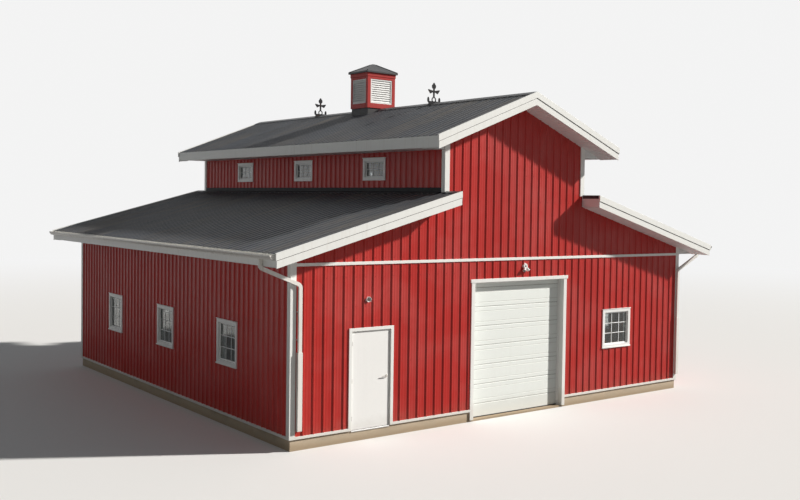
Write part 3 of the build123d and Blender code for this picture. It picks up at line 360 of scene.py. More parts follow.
class Effects:
    """Node groups that several finishes share, each made at its first use."""

    def start(self, name: str, inputs: dict[str, str],
              outputs: dict[str, str]) -> tuple[Graph, bpy.types.NodeOutputs, bpy.types.NodeInputs]:
        """Begins a group.

        Args:
            name: Name of the group.
            inputs: Socket type of each input.
            outputs: Socket type of each output.
        Returns:
            Its graph, the outputs of its input node and the inputs of its output node.
        """
        tree = bpy.data.node_groups.new(name, "ShaderNodeTree")
        for way, sockets in (("INPUT", inputs), ("OUTPUT", outputs)):
            for label, kind in sockets.items():
                tree.interface.new_socket(label, in_out=way, socket_type=kind)
        graph = Graph(tree)
        return graph, graph.node("NodeGroupInput").outputs, graph.node("NodeGroupOutput").inputs

    @cached_property
    def weather(self) -> bpy.types.NodeTree:
        """Dust that rises from the ground and dirt that runs down.

        Returns:
            The group.
        """
        graph, given, out = self.start(
            "weather",
            {"Place": "NodeSocketVector", "Colour": "NodeSocketColor", "Dirt": "NodeSocketColor",
             "Dust Height": "NodeSocketFloat", "Dust": "NodeSocketFloat",
             "Streaks": "NodeSocketFloat"},
            {"Colour": "NodeSocketColor", "Mask": "NodeSocketFloat"})
        height = graph.maths("SUBTRACT", graph.axes(given["Place"])[2], CURB_TOP)
        rise = graph.maths("DIVIDE", height, given["Dust Height"])
        uneven = graph.noise(given["Place"], 3.1, 6.0, 0.62)
        reach = graph.maths("ADD", rise, graph.swing(uneven, 1.5))
        dust = graph.product(graph.remap(reach, 0.0, 1.0, 1.0, 0.0), given["Dust"])
        runs = graph.noise(graph.stretch(given["Place"], (9.0, 9.0, 0.45)), 1.6, 5.0, 0.6)
        wide = graph.noise(given["Place"], 0.5, 3.0)
        amount = graph.product(graph.remap(runs, 0.46, 0.74), graph.remap(wide, 0.35, 0.65))
        streaks = graph.product(amount, given["Streaks"])
        mask = graph.maths("MAXIMUM", dust, streaks, clamp=True)
        graph.feed(out["Colour"], graph.blend(mask, given["Colour"], given["Dirt"]))
        graph.feed(out["Mask"], mask)
        return graph.tree

    @cached_property
    def paint(self) -> bpy.types.NodeTree:
        """Baked paint: slow changes of tone, chalking and a faint orange peel.

        Returns:
            The group.
        """
        graph, given, out = self.start(
            "paint",
            {"Place": "NodeSocketVector", "Colour": "NodeSocketColor", "Tone": "NodeSocketFloat",
             "Chalk": "NodeSocketFloat"},
            {"Colour": "NodeSocketColor", "Gloss": "NodeSocketFloat", "Height": "NodeSocketFloat"})
        slow = graph.noise(given["Place"], 0.8, 3.0)
        fine = graph.noise(given["Place"], 14.0, 5.0, 0.6)
        tone = graph.maths("ADD", graph.product(slow, 0.7), graph.product(fine, 0.3))
        factor = graph.maths("ADD", graph.swing(tone, given["Tone"]), 1.0)
        chalk = graph.product(graph.remap(slow, 0.4, 0.7), given["Chalk"])
        toned = graph.lighten(given["Colour"], factor)
        graph.feed(out["Colour"], graph.blend(chalk, toned, (0.6, 0.57, 0.54)))
        graph.feed(out["Gloss"], graph.swing(fine, 0.3))
        graph.feed(out["Height"], graph.noise(given["Place"], 420.0, 2.0))
        return graph.tree

    @cached_property
    def sheets(self) -> bpy.types.NodeTree:
        """Tone of each sheet in a run, a shade apart from its neighbours.

        Returns:
            The group.
        """
        graph, given, out = self.start(
            "sheets",
            {"Along": "NodeSocketFloat", "Across": "NodeSocketFloat", "Width": "NodeSocketFloat",
             "Colour": "NodeSocketColor", "Spread": "NodeSocketFloat"},
            {"Colour": "NodeSocketColor"})
        count = graph.maths("FLOOR", graph.maths("DIVIDE", given["Along"], given["Width"]))
        side = graph.maths("FLOOR", graph.product(given["Across"], 0.4))
        random = graph.node("ShaderNodeTexWhiteNoise", noise_dimensions="2D")
        joined = graph.node("ShaderNodeCombineXYZ")
        graph.feed(joined.inputs[0], count)
        graph.feed(joined.inputs[1], side)
        graph.feed(random.inputs["Vector"], joined.outputs[0])
        shift = graph.swing(random.outputs["Value"], given["Spread"])
        graph.feed(out["Colour"], graph.lighten(given["Colour"], graph.maths("ADD", shift, 1.0)))
        return graph.tree

    @cached_property
    def timber(self) -> bpy.types.NodeTree:
        """Grain along one axis, with knots.

        Returns:
            The group.
        """
        graph, given, out = self.start(
            "timber",
            {"Place": "NodeSocketVector", "Light": "NodeSocketColor", "Dark": "NodeSocketColor"},
            {"Colour": "NodeSocketColor", "Height": "NodeSocketFloat"})
        bend = graph.noise(given["Place"], 1.3, 3.0)
        grain = graph.noise(graph.stretch(given["Place"], (38.0, 38.0, 1.4)), 1.0, 6.0, 0.65)
        lines = graph.maths("ADD", graph.product(grain, 0.75), graph.product(bend, 0.25))
        knots = graph.node("ShaderNodeTexVoronoi", feature="F1")
        graph.feed(knots.inputs["Vector"], graph.stretch(given["Place"], (6.0, 6.0, 2.1)))
        graph.feed(knots.inputs["Scale"], 1.0)
        spot = graph.remap(knots.outputs["Distance"], 0.06, 0.16, 0.8, 0.0)
        board = graph.blend(graph.remap(lines, 0.38, 0.62), given["Light"], given["Dark"])
        graph.feed(out["Colour"], graph.blend(spot, board, (0.09, 0.045, 0.02)))
        graph.feed(out["Height"], lines)
        return graph.tree


EFFECTS = Effects()


@dataclass(frozen=True)
class Finish:
    """A finish: its name and how rough it is. Each kind writes its own nodes."""

    name: str
    roughness: float = 0.45
    sheen: float = 0.5

    def material(self) -> bpy.types.Material:
        """Gives the material, made at its first use.

        Returns:
            The material.
        """
        found = bpy.data.materials.get(self.name)
        if found:
            return found
        made = bpy.data.materials.new(self.name)
        made.use_nodes = True
        graph = Graph(made.node_tree)
        shader = made.node_tree.nodes["Principled BSDF"]
        place = graph.node("ShaderNodeTexCoord").outputs["Object"]
        shader.inputs["Roughness"].default_value = self.roughness
        shader.inputs["Specular IOR Level"].default_value = self.sheen
        self.write(graph, shader, place)
        return made

    def write(self, graph: Graph, shader: bpy.types.Node, place: bpy.types.NodeSocket) -> None:
        """Writes the nodes; each finish has its own.

        Args:
            graph: Graph of the material.
            shader: Its Principled shader.
            place: Object coordinates.
        """
        raise NotImplementedError

    def rough(self, graph: Graph, shader: bpy.types.Node, change: object) -> None:
        """Varies the roughness about its middle.

        Args:
            graph: Graph of the material.
            shader: Its shader.
            change: What is added to the roughness.
        """
        varied = graph.maths("ADD", change, self.roughness, clamp=True)
        graph.feed(shader.inputs["Roughness"], varied)

    def bump(self, graph: Graph, shader: bpy.types.Node, height: object, depth: float) -> None:
        """Adds relief.

        Args:
            graph: Graph of the material.
            shader: Its shader.
            height: Height from 0 to 1.
            depth: Depth of the relief in metres.
        """
        made = graph.node("ShaderNodeBump")
        made.inputs["Distance"].default_value = depth
        graph.feed(made.inputs["Height"], height)
        graph.feed(shader.inputs["Normal"], made.outputs[0])


@dataclass(frozen=True)
class PaintedSteel(Finish):
    """Painted steel or vinyl, with dust near the ground and dirt in runs."""

    colour: tuple[float, float, float] = (0.8, 0.8, 0.8)
    dirt: tuple[float, float, float] = (0.30, 0.23, 0.16)
    dust_height: float = 0.5
    dust: float = 0.35
    streaks: float = 0.12
    tone: float = 0.14
    chalk: float = 0.05
    peel: float = 0.00006

    def coat(self, graph: Graph, place: bpy.types.NodeSocket,
             colour: object) -> tuple[bpy.types.NodeOutputs, bpy.types.NodeOutputs]:
        """Places the paint and the weather over a colour.

        Args:
            graph: Graph of the material.
            place: Object coordinates.
            colour: Colour or output under them.
        Returns:
            Outputs of the paint group and of the weather group.
        """
        paint = graph.group(EFFECTS.paint, Place=place, Colour=colour, Tone=self.tone,
                            Chalk=self.chalk)
        worn = graph.group(EFFECTS.weather, Place=place, Colour=paint["Colour"], Dirt=self.dirt,
                           Dust_Height=self.dust_height, Dust=self.dust, Streaks=self.streaks)
        return paint, worn

    def cover(self, graph: Graph, shader: bpy.types.Node, place: bpy.types.NodeSocket,
              colour: object) -> bpy.types.NodeSocket:
        """Gives the shader its colour and roughness, duller where it is dirty.

        Args:
            graph: Graph of the material.
            shader: Its shader.
            place: Object coordinates.
            colour: Colour or output under paint and weather.
        Returns:
            Height of the orange peel.
        """
        paint, worn = self.coat(graph, place, colour)
        graph.feed(shader.inputs["Base Color"], worn["Colour"])
        dull = graph.product(worn["Mask"], 0.35)
        self.rough(graph, shader, graph.maths("ADD", paint["Gloss"], dull))
        return paint["Height"]

    def write(self, graph: Graph, shader: bpy.types.Node, place: bpy.types.NodeSocket) -> None:
        """Writes paint, weather and orange peel.

        Args:
            graph: Graph of the material.
            shader: Its shader.
            place: Object coordinates.
        """
        self.bump(graph, shader, self.cover(graph, shader, place, self.colour), self.peel)


@dataclass(frozen=True)
class CladdingSteel(PaintedSteel):
    """Rib sheets of the walls: painted steel whose sheets differ by a shade."""

    sheet_width: float = 0.9144
    spread: float = 0.10

    def write(self, graph: Graph, shader: bpy.types.Node, place: bpy.types.NodeSocket) -> None:
        """Writes the sheets' tones under paint and weather.

        Args:
            graph: Graph of the material.
            shader: Its shader.
            place: Object coordinates.
        """
        axes = graph.axes(place)
        along = graph.maths("ADD", axes[0], axes[1])
        toned = graph.group(EFFECTS.sheets, Along=along, Across=axes[2], Width=self.sheet_width,
                            Colour=self.colour, Spread=self.spread)
        peel = self.cover(graph, shader, place, toned["Colour"])
        waves = graph.noise(graph.stretch(place, (2.2, 2.2, 0.9)), 1.0, 2.0)
        relief = graph.maths("ADD", graph.product(waves, 14.0), peel)
        self.bump(graph, shader, relief, self.peel)


@dataclass(frozen=True)
class RoofSteel(CladdingSteel):
    """Rib sheets of the roofs: dust lies in patches and runs down the slope."""

    dusty: tuple[float, float, float] = (0.16, 0.14, 0.115)
    patches: float = 0.5

    def write(self, graph: Graph, shader: bpy.types.Node, place: bpy.types.NodeSocket) -> None:
        """Writes the sheets' tones, dust and runs of dirt.

        Args:
            graph: Graph of the material.
            shader: Its shader.
            place: Object coordinates.
        """
        axes = graph.axes(place)
        toned = graph.group(EFFECTS.sheets, Along=axes[1], Across=axes[0], Width=self.sheet_width,
                            Colour=self.colour, Spread=self.spread)
        paint = graph.group(EFFECTS.paint, Place=place, Colour=toned["Colour"], Tone=self.tone,
                            Chalk=self.chalk)
        runs = graph.noise(graph.stretch(place, (0.35, 5.0, 0.35)), 1.0, 6.0, 0.62)
        patch = graph.noise(place, 0.55, 4.0, 0.6)
        amount = graph.product(graph.remap(runs, 0.36, 0.72), graph.remap(patch, 0.3, 0.7))
        mask = graph.product(amount, self.patches, clamp=True)
        graph.feed(shader.inputs["Base Color"], graph.blend(mask, paint["Colour"], self.dusty))
        self.rough(graph, shader, graph.maths("ADD", paint["Gloss"], graph.product(mask, 0.3)))
        self.bump(graph, shader, paint["Height"], self.peel)


@dataclass(frozen=True)
class EmbossedSteel(PaintedSteel):
    """Door skins: painted steel pressed with a fine grain."""

    grain: tuple[float, float, float] = (1.0, 1.0, 6.0)
    grain_scale: float = 120.0
    grain_depth: float = 0.0005

    def write(self, graph: Graph, shader: bpy.types.Node, place: bpy.types.NodeSocket) -> None:
        """Writes paint, weather and the pressed grain.

        Args:
            graph: Graph of the material.
            shader: Its shader.
            place: Object coordinates.
        """
        self.cover(graph, shader, place, self.skin(graph, place))
        pressed = graph.noise(graph.stretch(place, self.grain), self.grain_scale, 3.0)
        self.bump(graph, shader, pressed, self.grain_depth)

    def skin(self, graph: Graph, place: bpy.types.NodeSocket) -> object:
        """Gives the colour under the paint's own changes.

        Args:
            graph: Graph of the material.
            place: Object coordinates.
        Returns:
            The colour or its output.
        """
        return self.colour


@dataclass(frozen=True)
class SectionalSteel(EmbossedSteel):
    """Skin of the sectional door, with dust and painted shade in the two pressed lines of each
    section.
    """

    first_joint: float = 0.352
    section: float = 0.447
    share: float = 0.23
    line: float = 0.010
    line_dust_and_shade: float = 0.5
    line_dust_and_shade_colour: tuple[float, float, float] = (0.40, 0.39, 0.35)

    def skin(self, graph: Graph, place: bpy.types.NodeSocket) -> object:
        """Gives the door's white with dust and painted shade in its pressed lines.

        Args:
            graph: Graph of the material.
            place: Object coordinates.
        Returns:
            The colour's output.
        """
        above = graph.maths("SUBTRACT", graph.axes(place)[2], self.first_joint)
        within = graph.maths("FRACT", graph.maths("DIVIDE", above, self.section))
        middle = graph.maths("ABSOLUTE", graph.maths("SUBTRACT", within, 0.5))
        off = graph.maths("ABSOLUTE", graph.maths("SUBTRACT", middle, 0.5 - self.share))
        # the pressed lines are darkened: partly dust, partly painted shade in the grooves
        dusty = graph.remap(off, 0.0, self.line / self.section, self.line_dust_and_shade, 0.0)
        mask = graph.product(dusty, graph.maths("GREATER_THAN", above, 0.0))
        return graph.blend(mask, self.colour, self.line_dust_and_shade_colour)


@dataclass(frozen=True)
class LinedWall(PaintedSteel):
    """Wall core: the cladding's paint outside and bare plywood inside."""

    half_width: float = HALF_WIDTH
    half_length: float = HALF_LENGTH
    lining: float = WALL * 0.75

    def within(self, graph: Graph, place: bpy.types.NodeSocket,
               half: float) -> bpy.types.NodeSocket:
        """Says where a place is nearer to the middle than the wall's lining.

        Args:
            graph: Graph of the material.
            place: Place along one axis.
            half: The wall's outer face on it.
        Returns:
            1 there and 0 elsewhere.
        """
        return graph.maths("LESS_THAN", graph.maths("ABSOLUTE", place), half - self.lining)

    def write(self, graph: Graph, shader: bpy.types.Node, place: bpy.types.NodeSocket) -> None:
        """Writes paint outside and plywood where the wall faces the room.

        Args:
            graph: Graph of the material.
            shader: Its shader.
            place: Object coordinates.
        """
        paint, worn = self.coat(graph, place, self.colour)
        wood = graph.group(EFFECTS.timber, Place=place, Light=(0.52, 0.36, 0.19),
                           Dark=(0.38, 0.24, 0.115))
        axes = graph.axes(place)
        inside = graph.product(self.within(graph, axes[0], self.half_width),
                               self.within(graph, axes[1], self.half_length))
        graph.feed(shader.inputs["Base Color"], graph.blend(inside, worn["Colour"], wood["Colour"]))
        self.rough(graph, shader, graph.product(inside, 0.3))
        relief = graph.product(graph.product(wood["Height"], inside), 8.0)
        self.bump(graph, shader, graph.maths("ADD", relief, paint["Height"]), self.peel)


@dataclass(frozen=True)
class RoofCore(Finish):
    """Roof panel's core: dark steel on its face, sheathing below."""

    steel: tuple[float, float, float] = (0.05, 0.052, 0.058)

    def write(self, graph: Graph, shader: bpy.types.Node, place: bpy.types.NodeSocket) -> None:
        """Writes sheathing where the face looks down.

        Args:
            graph: Graph of the material.
            shader: Its shader.
            place: Object coordinates.
        """
        wood = graph.group(EFFECTS.timber, Place=place, Light=(0.50, 0.36, 0.20),
                           Dark=(0.36, 0.24, 0.12))
        paint = graph.group(EFFECTS.paint, Place=place, Colour=self.steel, Tone=0.2, Chalk=0.04)
        up = graph.axes(graph.node("ShaderNodeNewGeometry").outputs["True Normal"])[2]
        below = graph.maths("LESS_THAN", up, 0.0)
        graph.feed(shader.inputs["Base Color"], graph.blend(below, paint["Colour"], wood["Colour"]))
        self.rough(graph, shader, graph.product(below, 0.2))
        self.bump(graph, shader, wood["Height"], 0.0005)


@dataclass(frozen=True)
class Timber(Finish):
    """Sawn framing timber."""

    light: tuple[float, float, float] = (0.55, 0.39, 0.22)
    dark: tuple[float, float, float] = (0.40, 0.26, 0.13)

    def write(self, graph: Graph, shader: bpy.types.Node, place: bpy.types.NodeSocket) -> None:
        """Writes the grain.

        Args:
            graph: Graph of the material.
            shader: Its shader.
            place: Object coordinates.
        """
        wood = graph.group(EFFECTS.timber, Place=place, Light=self.light, Dark=self.dark)
        graph.feed(shader.inputs["Base Color"], wood["Colour"])
        self.rough(graph, shader, graph.product(wood["Height"], 0.2))
        self.bump(graph, shader, wood["Height"], 0.0008)


@dataclass(frozen=True)
class Concrete(Finish):
    """Cast concrete: cloudy grey, air holes darkened with painted shade, fine sand and soil that
    splashed on its foot.
    """

    colour: tuple[float, float, float] = (0.57, 0.46, 0.33)
    cloud: tuple[float, float, float] = (0.42, 0.335, 0.235)
    hole_shade: tuple[float, float, float] = (0.12, 0.11, 0.10)
    soil: tuple[float, float, float] = (0.36, 0.26, 0.16)

    def write(self, graph: Graph, shader: bpy.types.Node, place: bpy.types.NodeSocket) -> None:
        """Writes clouds, holes with painted shade in them, and grit.

        Args:
            graph: Graph of the material.
            shader: Its shader.
            place: Object coordinates.
        """
        clouds = graph.noise(place, 1.8, 6.0, 0.6)
        sand = graph.noise(place, 230.0, 3.0)
        holes = graph.node("ShaderNodeTexVoronoi", feature="F1")
        graph.feed(holes.inputs["Vector"], place)
        graph.feed(holes.inputs["Scale"], 38.0)
        pit = graph.remap(holes.outputs["Distance"], 0.04, 0.12, 1.0, 0.0)
        base = graph.blend(graph.remap(clouds, 0.3, 0.7), self.colour, self.cloud)
        splash = graph.maths("ADD", graph.axes(place)[2], graph.swing(clouds, 0.35))
        soiled = graph.blend(graph.remap(splash, 0.02, 0.17, 0.7, 0.0), base, self.soil)
        # the air holes are darkened: painted shade in the pits
        with_hole_shade = graph.blend(graph.product(pit, 0.6), soiled, self.hole_shade)
        graph.feed(shader.inputs["Base Color"], with_hole_shade)
        self.rough(graph, shader, graph.product(sand, 0.15))
        relief = graph.maths("SUBTRACT", sand, graph.product(pit, 1.4))
        self.bump(graph, shader, relief, 0.0012)


@dataclass(frozen=True)
class BareMetal(Finish):
    """Satin metal with brushing along one axis."""

    colour: tuple[float, float, float] = (0.58, 0.56, 0.53)
    brush: tuple[float, float, float] = (4.0, 300.0, 300.0)
    metallic: float = 1.0

    def write(self, graph: Graph, shader: bpy.types.Node, place: bpy.types.NodeSocket) -> None:
        """Writes the brushing.

        Args:
            graph: Graph of the material.
            shader: Its shader.
            place: Object coordinates.
        """
        shader.inputs["Metallic"].default_value = self.metallic
        hair = graph.noise(graph.stretch(place, self.brush), 1.0, 4.0)
        smear = graph.noise(place, 26.0, 4.0)
        toned = graph.lighten(self.colour, graph.remap(smear, 0.3, 0.7, 0.86, 1.06))
        graph.feed(shader.inputs["Base Color"], toned)
        self.rough(graph, shader, graph.swing(hair, 0.25))
        self.bump(graph, shader, hair, 0.00004)


@dataclass(frozen=True)
class WroughtIron(Finish):
    """Black painted iron with rust in its low places."""

    colour: tuple[float, float, float] = (0.012, 0.012, 0.014)
    rust: tuple[float, float, float] = (0.11, 0.045, 0.02)

    def write(self, graph: Graph, shader: bpy.types.Node, place: bpy.types.NodeSocket) -> None:
        """Writes black paint, rust and hammering.

        Args:
            graph: Graph of the material.
            shader: Its shader.
            place: Object coordinates.
        """
        hammer = graph.noise(place, 34.0, 3.0)
        rust = graph.noise(place, 9.0, 6.0, 0.65)
        spots = graph.product(graph.remap(rust, 0.56, 0.72), 0.55)
        graph.feed(shader.inputs["Base Color"], graph.blend(spots, self.colour, self.rust))
        self.rough(graph, shader, graph.product(spots, 0.4))
        self.bump(graph, shader, hammer, 0.0012)


@dataclass(frozen=True)
class Glazing(Finish):
    """Clear window glass with a slight tint and faint waves."""

    tint: tuple[float, float, float] = (0.66, 0.70, 0.70)
    film: tuple[float, float, float] = (0.5, 0.46, 0.40)

    def write(self, graph: Graph, shader: bpy.types.Node, place: bpy.types.NodeSocket) -> None:
        """Writes the glass.

        Args:
            graph: Graph of the material.
            shader: Its shader.
            place: Object coordinates.
        """
        shader.inputs["Transmission Weight"].default_value = 1.0
        shader.inputs["IOR"].default_value = 1.5
        film = graph.noise(place, 2.2, 5.0, 0.6)
        share = graph.remap(film, 0.45, 0.8, 0.0, 0.35)
        graph.feed(shader.inputs["Base Color"], graph.blend(share, self.tint, self.film))
        self.rough(graph, shader, graph.remap(film, 0.5, 0.8, 0.0, 0.05))
        self.bump(graph, shader, graph.noise(place, 1.1, 2.0), 0.0008)


@dataclass(frozen=True)
class Rubber(Finish):
    """Black weather seal."""

    colour: tuple[float, float, float] = (0.02, 0.02, 0.021)
    dust: tuple[float, float, float] = (0.14, 0.12, 0.10)

    def write(self, graph: Graph, shader: bpy.types.Node, place: bpy.types.NodeSocket) -> None:
        """Writes dull black with dust in it.

        Args:
            graph: Graph of the material.
            shader: Its shader.
            place: Object coordinates.
        """
        dust = graph.noise(place, 22.0, 5.0, 0.6)
        share = graph.remap(dust, 0.5, 0.75, 0.0, 0.5)
        graph.feed(shader.inputs["Base Color"], graph.blend(share, self.colour, self.dust))
        self.rough(graph, shader, graph.product(dust, 0.1))
        self.bump(graph, shader, graph.noise(place, 300.0), 0.0003)


RED = (0.43, 0.017, 0.012)
WHITE = (0.84, 0.84, 0.805)
CLADDING_RED = CladdingSteel("barn red sheet steel", 0.42, colour=RED, dust=0.16, dust_height=0.35,
                             dirt=(0.30, 0.14, 0.09), streaks=0.1, tone=0.2, chalk=0.05,
                             sheen=0.3)
WALL_RED = LinedWall("barn red wall", 0.45, colour=RED, tone=0.12, dust=0.16, sheen=0.3)
CLERESTORY_RED = LinedWall("barn red clerestory wall", 0.45, colour=RED, tone=0.12,
                           half_width=HALF_MONITOR, dust=0.0, sheen=0.3)
CUPOLA_RED = PaintedSteel("barn red painted wood", 0.5, colour=(0.40, 0.020, 0.016), dust=0.0,
                          streaks=0.25, tone=0.2, chalk=0.03, dirt=(0.20, 0.09, 0.06), sheen=0.3)
CHARCOAL = RoofSteel("charcoal sheet steel", 0.45, colour=(0.042, 0.047, 0.056), chalk=0.02,
                     spread=0.2, tone=0.25, patches=0.6, sheen=0.26)
CHARCOAL_FOLDED = RoofSteel("charcoal folded steel", 0.45, colour=(0.036, 0.039, 0.045), chalk=0.02,
                            spread=0.1, tone=0.2, patches=0.35, sheen=0.26)
# flashing at the clerestory walls' foot, darker than the other charcoal steel as painted shade
CHARCOAL_PAINTED_SHADE = RoofSteel("charcoal wall flashing with painted shade", 0.6, colour=(0.014, 0.015, 0.018), chalk=0.0,
                          spread=0.1, tone=0.2, patches=0.12, sheen=0.1)
CHARCOAL_SOILED = RoofSteel("soiled charcoal steel", 0.6, colour=(0.036, 0.038, 0.042), chalk=0.02,
                            spread=0.1, tone=0.2, patches=1.0, dusty=(0.085, 0.062, 0.042),
                            sheen=0.3)
ROOF_CORE = RoofCore("roof panel core", 0.55)
TRIM_WHITE = PaintedSteel("white trim steel", 0.40, colour=WHITE, dust=0.22, dust_height=0.35,
                          streaks=0.14, dirt=(0.42, 0.32, 0.22))
SOFFIT_WHITE = PaintedSteel("white soffit sheet", 0.5, colour=(0.79, 0.79, 0.775), dust=0.0,
                            streaks=0.08, tone=0.1)
# the gutter white's warm cast is partly a painted reflection of brown ground; the dirt streaks are
# real
GUTTER_WHITE = PaintedSteel("white gutter metal", 0.36, colour=(0.81, 0.785, 0.735), dust=0.2,
                            streaks=0.42, dirt=(0.34, 0.27, 0.20))
DOOR_WHITE = SectionalSteel("white embossed door steel", 0.42, colour=(0.83, 0.86, 0.82), dust=0.15,
                            dust_height=0.3, streaks=0.04)
LEAF_WHITE = EmbossedSteel("white door leaf", 0.40, colour=(0.88, 0.875, 0.85), dust=0.15,
                           dust_height=0.3, streaks=0.04, grain=(6.0, 6.0, 0.6), grain_scale=40.0,
                           grain_depth=0.0003)
VINYL = PaintedSteel("white vinyl", 0.34, colour=(0.88, 0.875, 0.85), dust=0.0, streaks=0.12,
                     tone=0.08)
LOUVRE_WHITE = PaintedSteel("white louvre vinyl", 0.4, colour=(0.82, 0.82, 0.80), dust=0.0,
                            streaks=0.3, tone=0.1)
LIGHT_WHITE = PaintedSteel("white lamp housing", 0.3, colour=(0.80, 0.80, 0.78), dust=0.0,
                           streaks=0.15, tone=0.08)
GLASS = Glazing("window glass", 0.02)
LAMP_GLASS = PaintedSteel("dark lamp lens", 0.12, colour=(0.05, 0.045, 0.04), dust=0.0, streaks=0.2,
                          tone=0.2)
TIMBER = Timber("framing timber", 0.6)
CONCRETE = Concrete("cast concrete", 0.75)
SATIN = BareMetal("satin nickel", 0.32)
MILL = BareMetal("mill aluminium", 0.45, colour=(0.62, 0.62, 0.61))
SCREW_STEEL = BareMetal("painted screw head", 0.4, colour=(0.30, 0.035, 0.03), metallic=0.2)
DARK_SCREW = BareMetal("dark screw head", 0.42, colour=(0.06, 0.062, 0.068), metallic=0.3)
IRON = WroughtIron("black wrought iron", 0.62, sheen=0.2)
SEAL = Rubber("black seal", 0.75)
SECTION_SEAL = PaintedSteel("grey section seal", 0.6, colour=(0.30, 0.29, 0.27), dust=0.0,
                            streaks=0.3)


@dataclass(frozen=True)
class Facing:
    """A flat face to lay things on: v runs up it, u across it and n out of it."""

    origin: Vector
    up: Vector
    out: Vector

    def matrix(self) -> Matrix:
        """Gives the matrix from the face's own u, v and n to the barn's frame.

        Returns:
            The matrix.
        """
        side = self.up.cross(self.out)
        turned = Matrix((side, self.up, self.out)).transposed().to_4x4()
        return Matrix.Translation(self.origin) @ turned


@dataclass(frozen=True)
class RollForm:
    """One pitch of a roll-formed sheet, as places across it and heights off it.

    The first and last points are one pitch apart, so that copies join.
    """

    pitch: float
    points: tuple[tuple[float, float], ...]
    crease: float
    thickness: float = 0.0009
    lift: float = 0.0014


def rib_form(height: float, top: float, foot: float) -> RollForm:
    """Rib sheet with one high rib and two low swages to a pitch.

    Args:
        height: Height of the high rib.
        top: Half the width of its top.
        foot: Half the width of its foot.
    Returns:
        The form.
    """
    swage_height, swage_top, swage_foot = 0.0014, 0.006, 0.012
    third = RIB_PITCH / 3
    points = [(-foot, 0.0), (-top, height), (top, height), (foot, 0.0)]
    for middle in (third, 2 * third):
        points += [(middle - swage_foot, 0.0), (middle - swage_top, swage_height),
                   (middle + swage_top, swage_height), (middle + swage_foot, 0.0)]
    points.append((RIB_PITCH - foot, 0.0))
    return RollForm(RIB_PITCH, tuple(points), crease=0.0025)


def soffit_form() -> RollForm:
    """Flat boards with a narrow groove between them.

    Returns:
        The form.
    """
    pitch, face, depth = 0.1016, 0.0876, 0.0045
    points = ((0.0, 0.0), (face, 0.0), (face + 0.002, -depth), (pitch - 0.003, -depth),
              (pitch, 0.0))
    return RollForm(pitch, points, crease=0.0, lift=0.0065)


@dataclass(frozen=True)
class Opening:
    """A box-shaped hole through sheets, by its corners."""

    low: tuple[float, float, float]
    high: tuple[float, float, float]

    def holds(self, point: Vector) -> bool:
        """Says whether a point lies in it.

        Args:
            point: The point.
        Returns:
            True inside the box.
        """
        return all(a < value < b for a, value, b in zip(self.low, point, self.high))


def window_opening(face_axis: int, along: float, width: float, rise: float,
                   height: float, side: float) -> Opening:
    """Hole behind a window's trim.

    Args:
        face_axis: 0 for a wall square to X, 1 for one square to Y.
        along: Middle of the window along the wall.
        width: Its width over the trim.
        rise: Its height over the trim.
        height: Middle of the window.
        side: Sign of the wall's place on its axis.
    Returns:
        The hole.
    """
    half = (width / 2 - COVER, rise / 2 - COVER)
    near, far = sorted((side * INSIDE, side * OUTSIDE))
    left, right = along - half[0], along + half[0]
    bottom, top = height - half[1], height + half[1]
    if face_axis == 0:
        return Opening((near, left, bottom), (far, right, top))
    return Opening((left, near, bottom), (right, far, top))


@dataclass(frozen=True)
class ScrewPart:
    """Washer or head of a screw: its sides, its radius at foot and top, and its height."""

    sides: int
    foot: float
    top: float
    depth: float
    middle: float


SCREW = (ScrewPart(8, 0.0085, 0.0075, 0.0024, 0.0030), ScrewPart(6, 0.0052, 0.0046, 0.0050, 0.0062))


